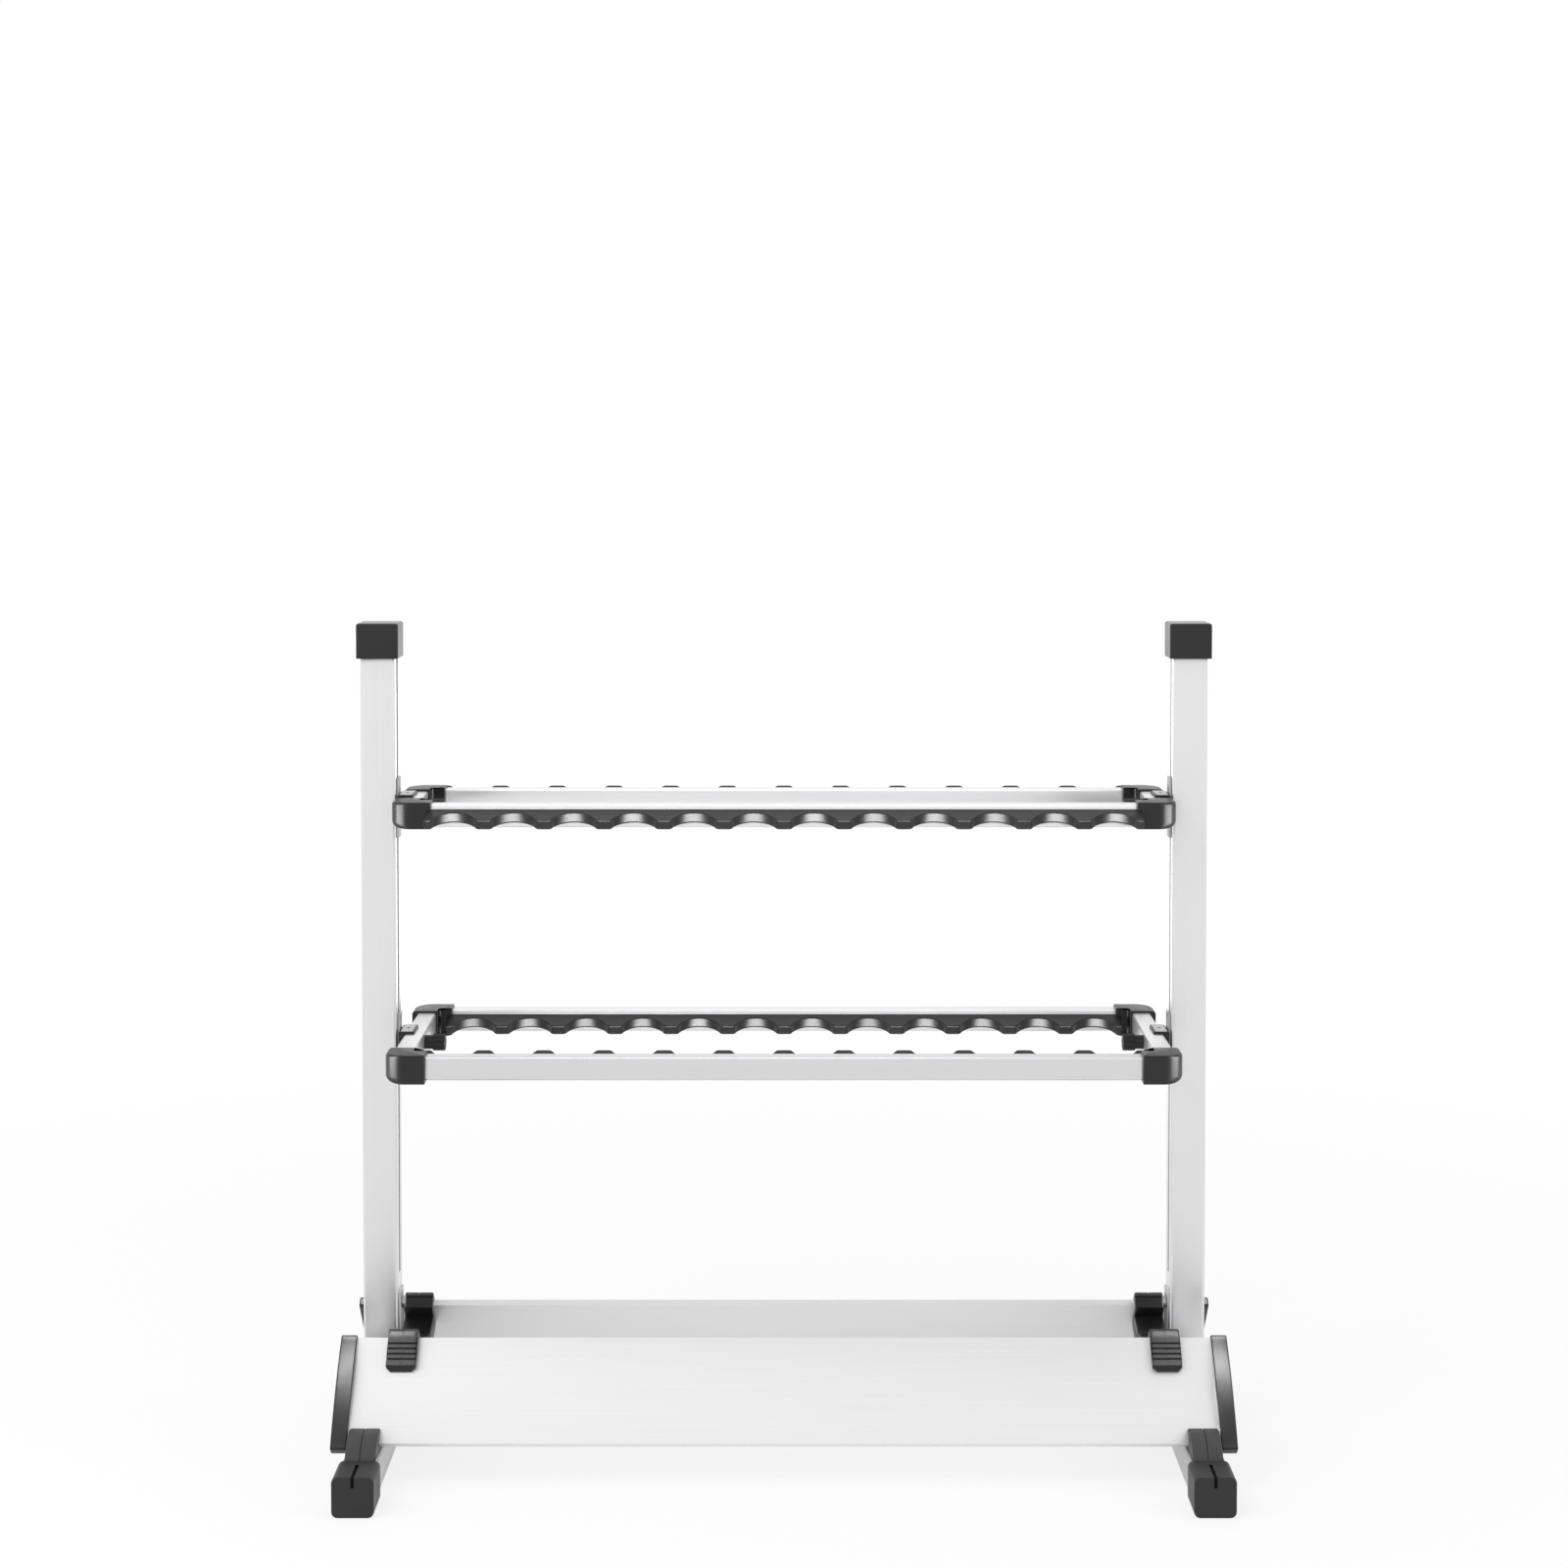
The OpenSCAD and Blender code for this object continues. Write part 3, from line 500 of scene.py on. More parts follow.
def mesh_from_rings(name, rings):
    """Joins neighbouring rings with quads and caps both ends; rings is (ring, point, xyz)."""
    count, size = rings.shape[:2]
    ring, point = np.meshgrid(np.arange(count - 1), np.arange(size), indexing="ij")
    following = (point + 1) % size
    quads = np.stack([ring * size + point, ring * size + following,
                      (ring + 1) * size + following, (ring + 1) * size + point], -1)
    faces = quads.reshape(-1, 4).tolist()
    faces.append(list(range(size))[::-1])
    faces.append(list(range((count - 1) * size, count * size)))
    mesh = bpy.data.meshes.new(name)
    mesh.from_pydata(rings.reshape(-1, 3).tolist(), [], faces)
    mesh.update()
    mesh.calc_loop_triangles()
    points = rings.reshape(-1, 3)
    corners = np.empty(len(mesh.loop_triangles) * 3, np.int32)
    mesh.loop_triangles.foreach_get("vertices", corners)
    a, b, c = (points[corners[k::3]] for k in range(3))
    if np.sum(a * np.cross(b, c)) < 0.0:
        mesh.flip_normals()
    mesh.polygons.foreach_set("use_smooth", [True] * len(mesh.polygons))
    mesh.set_sharp_from_angle(angle=CREASE)
    return mesh


# %% Pieces
SIDES = (("left", -1.0), ("right", 1.0))
ENDS = (("front", -1.0), ("rear", 1.0))


def add_piece(name, rings, material, body, slot, *nodes):
    """Makes a piece from rings, gives it its finish and body, and lets it stand for nodes."""
    piece = bpy.data.objects.new(name, mesh_from_rings(name, rings))
    scene.collection.objects.link(piece)
    piece.data.materials.append(material)
    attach(piece, body)
    lit(piece)
    if nodes:
        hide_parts(*nodes)
    return piece


def on_side(rings, side, end):
    """Rings made for the right front, mirrored to a side (-1 left) and an end (1 rear)."""
    return rings * np.array([side, -end, 1.0])


def mouldings(rings, pattern, suffix, material, slot, body="root"):
    """One piece for each of the four places; pattern and body may hold {end} and {side}."""
    pieces = []
    for side_name, side in SIDES:
        for end_name, end in ENDS:
            node = pattern.format(end=end_name, side=side_name)
            rides_on = body.format(end=end_name, side=side_name)
            placed = on_side(rings, side, end)
            pieces.append(add_piece(node + suffix, placed, material, rides_on, slot, node))
    print(pattern + suffix, "four of", rings.shape[0], "rings of", rings.shape[1], "points")
    return pieces


# %% [markdown]
# A foot cap is a rounded box pushed over the foot tube's end. A narrow slit runs along its
# top and a little way down its face. The outline carries three pairs of points in its top
# side, and how far they dip says where the slit is and how deep. A cut with a boolean would
# leave ragged rounds here. Hardly any light reaches the slit, so its faces are painted near-black as
# shade.

# %% Foot caps
CAP_CORNER = 4.5 * MM
CAP_EDGE = 1.3 * MM
SLIT_HALF = 1.2 * MM
SLIT_DEPTH = 1.7 * MM
SLIT_FACE = 7.5 * MM
SLIT_LENGTH = 27.0 * MM
SLIT_LIP = 0.25 * MM
LIP_DIP = 0.15
SHADE_FROM = 0.1 * SLIT_DEPTH
SHADE_ASIDE = 0.024 * MM
SHADE_UNDER = 0.075 * MM
CAP_BACK_EDGE = 0.5 * MM
STEEP = 0.02 * MM


def foot_cap_rings():
    """The cap's outline in X and Z, carried along Y from its face to its open end."""
    low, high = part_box("foot_cap_front_right")
    middle = 0.5 * (low.x + high.x)
    corners = [(high.x, low.z), (high.x, high.z), (middle, high.z), (low.x, high.z), (low.x, low.z)]
    outline = round_outline(corners, [CAP_CORNER, CAP_CORNER, 0.0, CAP_CORNER, CAP_CORNER], 7)
    top = int(np.argmin(np.abs(outline - (middle, high.z)).sum(1)))
    slit_x = middle + np.array([1.0, 1.0, 1.0, -1.0, -1.0, -1.0]) * SLIT_HALF
    slit_x[[0, -1]] += np.array([1.0, -1.0]) * SLIT_LIP
    slit = np.stack([slit_x, np.full(len(slit_x), high.z)], 1)
    dip = np.array([0.0, LIP_DIP, 1.0, 1.0, LIP_DIP, 0.0])
    outline = np.vstack([outline[:top], slit, outline[top + 1:]])
    dips = np.zeros(len(outline))
    dips[top:top + len(dip)] = dip
    front, back = np.split(soft_ends(low.y, high.y, CAP_EDGE, CAP_BACK_EDGE), 2)
    step, stop = low.y + SLIT_DEPTH, low.y + SLIT_LENGTH
    walls = [[step, 0.0], [step + STEEP, 0.0], [stop, 0.0], [stop + STEEP, 0.0]]
    stations = np.vstack([front, walls, back])
    rings = carried(outline, stations)
    y = stations[:, 0]
    depth = np.where(y <= step, SLIT_FACE, np.where(y <= stop, SLIT_DEPTH, 0.0))
    rings[:, :, 1] -= depth[:, None] * dips[None]
    return rings[:, :, [0, 2, 1]]


# %% The slit's shadow


def paint_slit_shade(piece):
    """Paints the faces in the slit near-black as shade: those whose centres lie between its walls
    and above its floor, with a little to spare on either."""
    low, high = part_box(piece.name.replace("_moulding", ""))
    faces = piece.data.polygons
    centres = np.empty(len(faces) * 3)
    faces.foreach_get("center", centres)
    centres = centres.reshape(-1, 3)
    inside = np.abs(centres[:, 0] - 0.5 * (low.x + high.x)) < SLIT_HALF + SHADE_ASIDE
    below = centres[:, 2] < high.z - SHADE_FROM
    near_top = centres[:, 2] > high.z - SLIT_FACE - SHADE_UNDER
    ahead = np.minimum(centres[:, 1] - low.y, high.y - centres[:, 1]) < SLIT_LENGTH
    slit = inside & below & near_top & ahead
    piece.data.materials.append(painted_slit_shade)
    faces.foreach_set("material_index", slit.astype(np.int32))
    return int(slit.sum())


caps = mouldings(foot_cap_rings(), "foot_cap_{end}_{side}", "_moulding", finish_cap,
                 "black_plastic")
print("slit faces", [paint_slit_shade(cap) for cap in caps])

# %% [markdown]
# A post cap is a plain box that closes the post. Its rounds are all that one sees of its
# form, so it is a rounded rectangle, carried up, with the largest round along its top.

# %% Post caps
POST_CAP_CORNER = 2.2 * MM
POST_CAP_LOW = 0.4 * MM
POST_CAP_TOP = 1.8 * MM


def post_cap_rings():
    """A rounded rectangle in X and Y, carried up Z; its top edge has the larger round."""
    low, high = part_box("post_cap_right")
    outline = round_outline(rectangle(low, high), POST_CAP_CORNER)
    return carried(outline, soft_ends(low.z, high.z, POST_CAP_LOW, POST_CAP_TOP))


for side_name, side in SIDES:
    node = f"post_cap_{side_name}"
    add_piece(node + "_moulding", on_side(post_cap_rings(), side, -1.0), finish_post_cap, "root",
              "black_plastic", node)
print("post caps", post_cap_rings().shape)

# %% [markdown]
# The butt plates slope, so their clips, latches and end strips are drawn in the plate's
# own two directions: u runs up the slope from its lower outer edge, and n points out of it.
# Working in X, Y and Z instead would put the slope's sine and cosine into every number.

# %% The slope's own directions
plate_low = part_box("butt_plate_front")[0]
SLOPE = math.radians(46.5)
PLATE_THICK = 5.0 * MM
PLATE_LONG = 84.0 * MM
CLEAR = 0.3 * MM
UP = np.array([math.cos(SLOPE), math.sin(SLOPE)])
OUT = np.array([-math.sin(SLOPE), math.cos(SLOPE)])
EDGE = np.array([plate_low.y, plate_low.z + PLATE_THICK * math.cos(SLOPE)])


def to_yz(u, n):
    """Points in u and n as points in Y and Z, on the front plate."""
    return EDGE + np.multiply.outer(u, UP) + np.multiply.outer(n, OUT)


def on_slope(rings):
    """Rings in u, n and X, as rings in X, Y and Z."""
    return np.concatenate([rings[..., 2:3], to_yz(rings[..., 0], rings[..., 1])], -1)


print("plate edge", EDGE.round(4), "top", to_yz(PLATE_LONG, 0.0).round(4))

# %% [markdown]
# An end strip covers the plate's raw end. Its outer face bulges along its length, and that
# slow curve is what draws the long fading light on it, so the curve is a true parabola of
# many points and not a few flat steps. The toe clip is a dome over the plate's lower edge,
# parted by a narrow seam, with the slot in which the plate stands.

# %% End strips
STRIP_CROWN = 3.2 * MM
STRIP_TOE = 5.1 * MM
STRIP_WALL = 1.6 * MM
STRIP_ROUND = 1.8 * MM
STRIP_TOP_ROUND = 0.9 * STRIP_ROUND
STRIP_EDGES = (0.9 * MM, 1.2 * MM)
STRIP_POINTS = 41


def strip_outline():
    """A long bar whose outer face bulges by the crown times 1 - t squared, with t from -1 at
    one end to 1 at the other."""
    low, high = -STRIP_TOE, PLATE_LONG + STRIP_WALL
    inner, outer = -PLATE_THICK - STRIP_WALL, STRIP_WALL
    t = np.linspace(1.0, -1.0, STRIP_POINTS)
    face_u = 0.5 * (high + low) + t * (0.5 * (high - low) - STRIP_ROUND)
    face_n = outer + STRIP_CROWN * (1.0 - t * t)
    corners = np.vstack([[(low, inner), (high, inner), (high, outer)],
                         np.stack([face_u, face_n], 1)[1:-1], [(low, outer)]])
    radii = np.zeros(len(corners))
    radii[[0, 1, 2, -1]] = STRIP_ROUND, STRIP_ROUND, STRIP_TOP_ROUND, STRIP_TOP_ROUND
    return round_outline(corners, radii, 5)


strip_low, strip_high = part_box("plate_end_front_right")
strip_stations = soft_ends(strip_low.x, strip_high.x, *STRIP_EDGES)
mouldings(on_slope(carried(strip_outline(), strip_stations)), "plate_end_{end}_{side}",
          "_strip", finish_strip, "end_strip")

# %% Toe clips
TOE_COVER = 11.0 * MM
TOE_HEIGHT = 1.9 * MM
TOE_RADIUS = 30.0 * MM
TOE_UNDER = 14.0 * MM
TOE_HEEL = 9.4 * MM
TOE_EDGE = 1.0 * MM
TOE_SEAM = 0.35 * MM
SEAM_DEPTH = 0.8 * MM
DOME_POINTS = 40
UNDER_POINTS = 8


def arc_between(start, end, radius, count):
    """Points on the arc of that radius from start to end that bulges to the left of the way."""
    chord = end - start
    length = np.linalg.norm(chord)
    sideways = np.array([chord[1], -chord[0]]) / length
    centre = 0.5 * (start + end) + sideways * math.sqrt(radius ** 2 - 0.25 * length ** 2)
    return short_arc(centre, radius, start, end, count)


def toe_outline():
    """Side view in Y and Z: an arc from the foot cap over the plate's lower edge, the slot
    that holds the plate, a short arc under it, and the flat foot on the tube. Also gives
    how much of the edges' draw-in each point takes: all on the dome, none elsewhere."""
    low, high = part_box("toe_clip_front_right")
    tube_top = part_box("foot_tube_right")[1].z
    over = arc_between(np.array([low.y, tube_top]), to_yz(TOE_COVER, TOE_HEIGHT),
                       TOE_RADIUS, DOME_POINTS)
    slot = [to_yz(TOE_COVER, CLEAR), to_yz(-CLEAR, CLEAR), to_yz(-CLEAR, -PLATE_THICK - CLEAR)]
    below = arc_between(to_yz(TOE_UNDER, -PLATE_THICK - CLEAR),
                        np.array([high.y, tube_top + TOE_HEEL]), TOE_RADIUS, UNDER_POINTS)
    corners = np.vstack([over, slot, below, [(high.y, tube_top)]])
    share = np.zeros(len(corners))
    share[:len(over)] = 1.0
    return corners, share


def with_seam(stations, middle, half, depth):
    """Adds a narrow groove at the middle of a run of stations."""
    groove = [[middle - half - SUPPORT, 0.0], [middle - half, depth],
              [middle + half, depth], [middle + half + SUPPORT, 0.0]]
    before = stations[stations[:, 0] < middle]
    return np.vstack([before, groove, stations[stations[:, 0] >= middle]])


toe_low, toe_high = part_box("toe_clip_front_right")
toe_stations = with_seam(soft_ends(toe_low.x, toe_high.x, TOE_EDGE),
                         0.5 * (toe_low.x + toe_high.x), TOE_SEAM, SEAM_DEPTH)
toe_side, toe_share = toe_outline()
mouldings(carried(toe_side, toe_stations, toe_share)[..., [2, 0, 1]], "toe_clip_{end}_{side}",
          "_moulding", finish_clip, "black_plastic")

# %% [markdown]
# A latch lever lies on the plate and turns on a pin at the plate's upper edge. Its face
# bends on a long arc into a round head that covers the pin. Four grooves across it give
# the thumb a hold, and its lower corners are cut off at 45 degrees. All but the cuts shows
# from the side, so the side view is the outline, and the cuts move points afterwards.

# %% Latch levers: the side view
LEVER_LONG = 28.0 * MM
LEVER_UNDER = 0.3 * MM
LEVER_FACE = 4.7 * MM
HEAD = 2.7 * MM
PIN_U = PLATE_LONG + CLEAR + HEAD
PIN_N = 1.5 * MM
CREST_SET = 6.0 * MM
GROOVE_SET = 6.5 * MM
GROOVE_STEP = 4.2 * MM
GROOVE_WIDE = 1.9 * MM
GROOVE_DEEP = 1.1 * MM
GROOVE_SLANT = 0.3 * MM
GROOVE_ROUND = 0.14 * MM
GROOVES = 4
LEVER_FOOT = PLATE_LONG - LEVER_LONG
FOOT_SLANT = 3.2 * MM
FOOT_DROP = 2.0 * MM
FOOT_ROUNDS = (0.8 * MM, 0.6 * MM)
UNDER_ROUND = 0.3 * MM
BAR_SHARE = 0.7
HEAD_SHARE = 1.7
UNDER_SHARE = 0.2


def hood():
    """From the lever's underside round the head, then back on the long arc to the face. The
    two circles touch on the line through their centres, which gives the long one's radius."""
    rise = LEVER_FACE - PIN_N
    bend = (CREST_SET ** 2 + rise ** 2 - HEAD ** 2) / (2.0 * (rise - HEAD))
    crest = (PIN_U - CREST_SET, LEVER_FACE - bend)
    touch = math.atan2(PIN_N - crest[1], PIN_U - crest[0])
    under = -math.pi - math.asin((LEVER_UNDER - PIN_N) / HEAD)
    return np.vstack([arc((PIN_U, PIN_N), HEAD, under, touch, 22),
                      arc(crest, bend, touch, 0.5 * math.pi, 10)[1:]])


def lever_outline():
    """Side view in u and n: underside, hood, grooved face and slanted foot. Also gives how
    much of the sides' draw-in each point takes: more on the head than on the bar."""
    head = hood()
    corners, radii = [], []
    for i in range(GROOVES):
        start = PLATE_LONG - GROOVE_SET - i * GROOVE_STEP
        stop = start - GROOVE_WIDE
        floor = LEVER_FACE - GROOVE_DEEP
        corners += [(start, LEVER_FACE), (start - GROOVE_SLANT, floor),
                    (stop + GROOVE_SLANT, floor), (stop, LEVER_FACE)]
        radii += [GROOVE_ROUND] * 4
    corners += [(LEVER_FOOT + FOOT_SLANT, LEVER_FACE), (LEVER_FOOT, LEVER_FACE - FOOT_DROP)]
    radii += FOOT_ROUNDS
    outline = round_outline(np.vstack([[(LEVER_FOOT, LEVER_UNDER)], head, corners]),
                            np.concatenate([[UNDER_ROUND], np.zeros(len(head)), radii]), 4)
    to_head = np.clip((outline[:, 0] - PIN_U + CREST_SET) / CREST_SET, 0.0, 1.0)
    share = BAR_SHARE + (HEAD_SHARE - BAR_SHARE) * to_head
    share[outline[:, 1] <= LEVER_UNDER + SUPPORT] = UNDER_SHARE
    return outline, share


# %% Latch levers: across
LEVER_EDGE = 0.9 * MM
CORNER_CUT = 3.0 * MM
LEVER_SEAM = 0.25 * MM
LEVER_SEAM_DEPTH = 0.25 * MM


def lever_rings():
    """The side view carried along X, with a faint seam. Near each side, no point may lie
    lower than the foot plus what the cut still takes there: 45 degrees, so one for one."""
    low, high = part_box("latch_lever_front_right")
    stations = soft_ends(low.x, high.x, LEVER_EDGE)
    cuts = np.array([[low.x + CORNER_CUT, 0.0], [high.x - CORNER_CUT, 0.0]])
    stations = np.vstack([stations, cuts])
    stations = stations[np.argsort(stations[:, 0], kind="stable")]
    stations = with_seam(stations, 0.5 * (low.x + high.x), LEVER_SEAM, LEVER_SEAM_DEPTH)
    outline, share = lever_outline()
    rings = carried(outline, stations, share)
    to_side = np.minimum(rings[..., 2] - low.x, high.x - rings[..., 2])
    cut = LEVER_FOOT + np.clip(CORNER_CUT - to_side, 0.0, None)
    rings[..., 0] = np.maximum(rings[..., 0], cut)
    return on_slope(rings)


mouldings(lever_rings(), "latch_lever_{end}_{side}", "_grip", finish_black, "black_plastic",
          "latch_lever_{end}_{side}")

# %% [markdown]
# Each frame has a corner piece at every corner. Seen from above it is an L with one large
# round outside. Only its outer side is rounded below and above, so the front stays flat
# down to a crisp edge, and the two arms stay full where the tubes enter them. A bevel would
# round all edges alike, so the rounds are drawn in along X, by a share for each point.

# %% Frame corners
CORNER_ROUND = 14.0 * MM
CORNER_UNDER = 5.5 * MM
CORNER_OVER = 2.6 * MM
CORNER_SOFT = 0.5 * MM
CORNER_WALL = 1.6 * MM
CORNER_RIM = 0.4 * MM
CORNER_INSIDE = 2.0 * MM
HAIR = 0.001 * MM


def round_over(distance, radius):
    """How far a quarter circle has drawn in, at a distance from the edge: r less the root of
    r squared minus (r - distance) squared."""
    left = np.clip(radius - distance, 0.0, radius)
    return radius - np.sqrt(radius ** 2 - left ** 2)


def corner_rings(node):
    """The L in X and Y, carried up Z. The rounds draw in along X alone, in full at the outer
    side and not at all from the side bar inwards."""
    low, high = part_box(node)
    rail_low, rail_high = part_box("lower_rail_front")
    bar_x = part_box("lower_bar_right")[0].x - CORNER_WALL
    rail_y = low.y + rail_high.y - rail_low.y + 2.0 * CORNER_WALL
    corners = [(low.x, low.y), (high.x, low.y), (high.x, high.y),
               (bar_x, high.y), (bar_x, rail_y), (low.x, rail_y)]
    radii = [CORNER_RIM, CORNER_ROUND, CORNER_RIM, CORNER_RIM, CORNER_INSIDE, CORNER_RIM]
    outline = round_outline(corners, radii, 14)
    normal = inward(outline)
    share = np.clip((outline[:, 0] - bar_x) / (high.x - bar_x), 0.0, 1.0)
    under = soft_ends(low.z, high.z, CORNER_UNDER, CORNER_OVER, 9)[1:-1, 0]
    edge = soft_ends(low.z, high.z, CORNER_SOFT, CORNER_SOFT, 3)[1:-1, 0]
    z = np.sort(np.concatenate([under, edge]))
    z = z[np.concatenate([[True], np.diff(z) > HAIR])]
    wide = round_over(z - low.z, CORNER_UNDER) + round_over(high.z - z, CORNER_OVER)
    soft = round_over(z - low.z, CORNER_SOFT) + round_over(high.z - z, CORNER_SOFT)
    plan = outline[None] + soft[:, None, None] * normal[None]
    plan[..., 0] -= wide[:, None] * share[None]
    return with_place(plan, z)


for level in ("lower", "upper"):
    mouldings(corner_rings(f"{level}_corner_front_right"), level + "_corner_{end}_{side}",
              "_moulding", finish_black, "black_plastic", level + "_frame")

# %% [markdown]
# A grip is a rubbery bar with twelve hollows. How far it reaches out of the rail is an arc
# in each hollow and another arc on each shoulder between two hollows, and the bar's top
# slopes down as it reaches out. The same surface, turned over, makes the opposite grip.
# A plain bar with round cuts would have sharp rims and none of the slope.

# %% How far a grip reaches
PLACES = 12
TIP_REACH = 15.5 * MM
HOLLOW_REACH = 4.5 * MM
TIP_FLAT = 3.5 * MM
SHOULDER = 3.0 * MM


def grip_reach(x, half):
    """Reach at x: hollow circle, then shoulder circle, then the tip's flat end. The circles
    touch, so the hollow's radius follows from to_tip squared + deep squared = 2 deep both."""
    pitch = 2.0 * half / PLACES
    t = np.abs((x + half) % pitch - 0.5 * pitch)
    to_tip = 0.5 * pitch - TIP_FLAT
    deep = TIP_REACH - HOLLOW_REACH
    both = (to_tip ** 2 + deep ** 2) / (2.0 * deep)
    hollow = both - SHOULDER
    meet = to_tip * hollow / both
    in_hollow = HOLLOW_REACH + hollow - np.sqrt(np.maximum(hollow ** 2 - t ** 2, 0.0))
    off = np.clip(to_tip - t, 0.0, SHOULDER)
    on_shoulder = TIP_REACH - SHOULDER + np.sqrt(SHOULDER ** 2 - off ** 2)
    return np.where(t < meet, in_hollow, on_shoulder)


# %% Sections of a grip
GRIP_TOP = 5.1 * MM
GRIP_DROP = 6.0 * MM
GRIP_THICK = 7.5 * MM
GRIP_RISE = 4.0 * MM
GRIP_EDGE = 1.1 * MM
TIP_LEAN = 2.6 * MM
CORNER_LAP = 3.7 * MM
CORNER_STEP = 1.9 * MM
BACK_SET = 1.5 * GRIP_EDGE
BACK_LEAST = 0.1 * MM
STEPS_PER_PLACE = 76
ROUND_POINTS = 6
FLAT_SHARES = np.array([0.04, 0.96])


def with_flat(rows):
    """Adds two rows just inside the flat face between the two rounds, which keep it flat
    when the surface is shaded smooth."""
    above, below = rows[:, :ROUND_POINTS], rows[:, ROUND_POINTS:]
    face = above[:, -1:] + (below[:, :1] - above[:, -1:]) * FLAT_SHARES
    return np.concatenate([above, face, below], 1)


def grip_rings(half):
    """Sections in reach and height for every x: the top falls by a slope times the reach, the
    underside rises as the reach falls, quarter circles join both to the face, and the ends
    draw in on a quarter circle too. Inside the corner pieces the back steps in."""
    x = np.linspace(-half, half, PLACES * STEPS_PER_PLACE + 1)
    step = half - CORNER_LAP - CLEAR
    steps = np.add.outer([-step, step], [-HAIR, HAIR]).ravel()
    x = np.sort(np.concatenate([x, steps]))
    near_end = np.clip((np.abs(x) - (half - GRIP_EDGE)) / GRIP_EDGE, 0.0, 1.0)
    draw = GRIP_EDGE * (1.0 - np.sqrt(1.0 - near_end ** 2))
    reach = grip_reach(x, half) - draw
    inner = np.where(np.abs(x) > step, CORNER_STEP, 0.0)
    slope = GRIP_DROP / TIP_REACH
    fall = GRIP_RISE / (TIP_REACH - HOLLOW_REACH)
    tip_under = GRIP_TOP - GRIP_DROP - GRIP_THICK
    over = GRIP_TOP - slope * reach - draw
    under = tip_under + fall * (TIP_REACH - reach) + draw
    turn = np.linspace(0.0, 0.5 * math.pi, ROUND_POINTS)
    edge_y = np.concatenate([np.sin(turn), np.cos(turn)])
    edge_z = np.concatenate([np.cos(turn) - 1.0, 1.0 - np.sin(turn)])
    tip = np.clip((reach - HOLLOW_REACH) / (TIP_REACH - HOLLOW_REACH), 0.0, 1.0)
    lean = TIP_LEAN * tip[:, None] * np.repeat([0.0, 1.0], ROUND_POINTS)[None]
    y = reach[:, None] - lean - GRIP_EDGE + GRIP_EDGE * edge_y[None]
    z = np.repeat(np.stack([over, under], 1), ROUND_POINTS, 1) + GRIP_EDGE * edge_z[None]
    y, z = with_flat(y), with_flat(z)
    first = np.stack([inner, GRIP_TOP - slope * inner - draw], 1)
    last_y = np.minimum(HOLLOW_REACH, reach - BACK_SET)
    low_line = tip_under + GRIP_RISE + draw
    bottom = np.stack([np.maximum(last_y, inner + BACK_LEAST), low_line], 1)
    last = np.stack([inner, low_line], 1)
    section = np.concatenate([first[:, None], np.stack([y, z], -1), bottom[:, None],
                              last[:, None]], 1)
    return with_place(section, x)[..., [2, 0, 1]]


# %% The four grips


def place_grip(level, end_name, face, looks, turned):
    """Puts a grip on a rail's face; looks is the way it reaches along Y, turned flips it."""
    node = f"{level}_grip_{end_name}"
    low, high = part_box(node)
    rail_low, rail_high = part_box(f"{level}_rail_{end_name}")
    rings = grip_rings(0.5 * (high.x - low.x))
    placed = rings * np.array([1.0, looks, -1.0 if turned else 1.0])
    placed[..., 1] += face
    placed[..., 2] += 0.5 * (rail_low.z + rail_high.z)
    add_piece(node + "_rubber", placed, finish_grip, level + "_frame", "grip", node)
    print(node, rings.shape[0], "sections of", rings.shape[1], "points")


lower_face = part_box("lower_rail_rear")[0].y
upper_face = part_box("upper_rail_rear")[1].y
place_grip("lower", "front", -lower_face, 1.0, True)
place_grip("lower", "rear", lower_face, -1.0, False)
place_grip("upper", "front", -upper_face, -1.0, False)
place_grip("upper", "rear", upper_face, 1.0, True)

# %% [markdown]
# Each frame is held by a clamp on either side: a saddle hooks round the side bar, and a
# knob with fluted sides draws it against the post. The knob is a surface of revolution
# whose radius also dips once for every flute. The saddle's top holds a thin steel cover
# plate with a round mark, and the stud shows between the knob and the bar.

# %% Saddles
SADDLE_ROUND = 0.8 * MM
SADDLE_EDGE = 0.6 * MM
SADDLE_GAP = 0.1 * MM


def saddle_rings(node, bar):
    """A C in X and Z round the side bar, carried along Y."""
    low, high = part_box(node)
    bar_low, bar_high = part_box(bar)
    inner_x = bar_high.x + SADDLE_GAP
    inner_low, inner_high = bar_low.z - SADDLE_GAP, bar_high.z + SADDLE_GAP
    corners = [(low.x, low.z), (high.x, low.z), (high.x, high.z), (low.x, high.z),
               (low.x, inner_high), (inner_x, inner_high), (inner_x, inner_low), (low.x, inner_low)]
    radii = np.repeat([SADDLE_ROUND, 0.0], 4)
    rings = carried(round_outline(corners, radii, 4), soft_ends(low.y, high.y, SADDLE_EDGE))
    return rings[..., [0, 2, 1]]


# %% Cover plates and marks
COVER_IN = (1.5 * MM, 0.6 * MM)
COVER_CORNER = 0.8 * MM
COVER_FROM_TO = (-0.5 * MM, 0.35 * MM)
COVER_EDGES = (0.1 * MM, 0.25 * MM)
MARK_RADIUS = 1.2 * MM
MARK_POINTS = 24
MARK_FROM_TO = (0.2 * MM, 0.5 * MM)
MARK_EDGES = (0.05 * MM, 0.1 * MM)


def cover_rings(node):
    """A thin plate let into the saddle's top: a rounded rectangle, carried up Z."""
    low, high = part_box(node)
    outline = round_outline(rectangle(low, high, COVER_IN), COVER_CORNER, 4)
    start, end = high.z + COVER_FROM_TO[0], high.z + COVER_FROM_TO[1]
    return carried(outline, soft_ends(start, end, *COVER_EDGES))


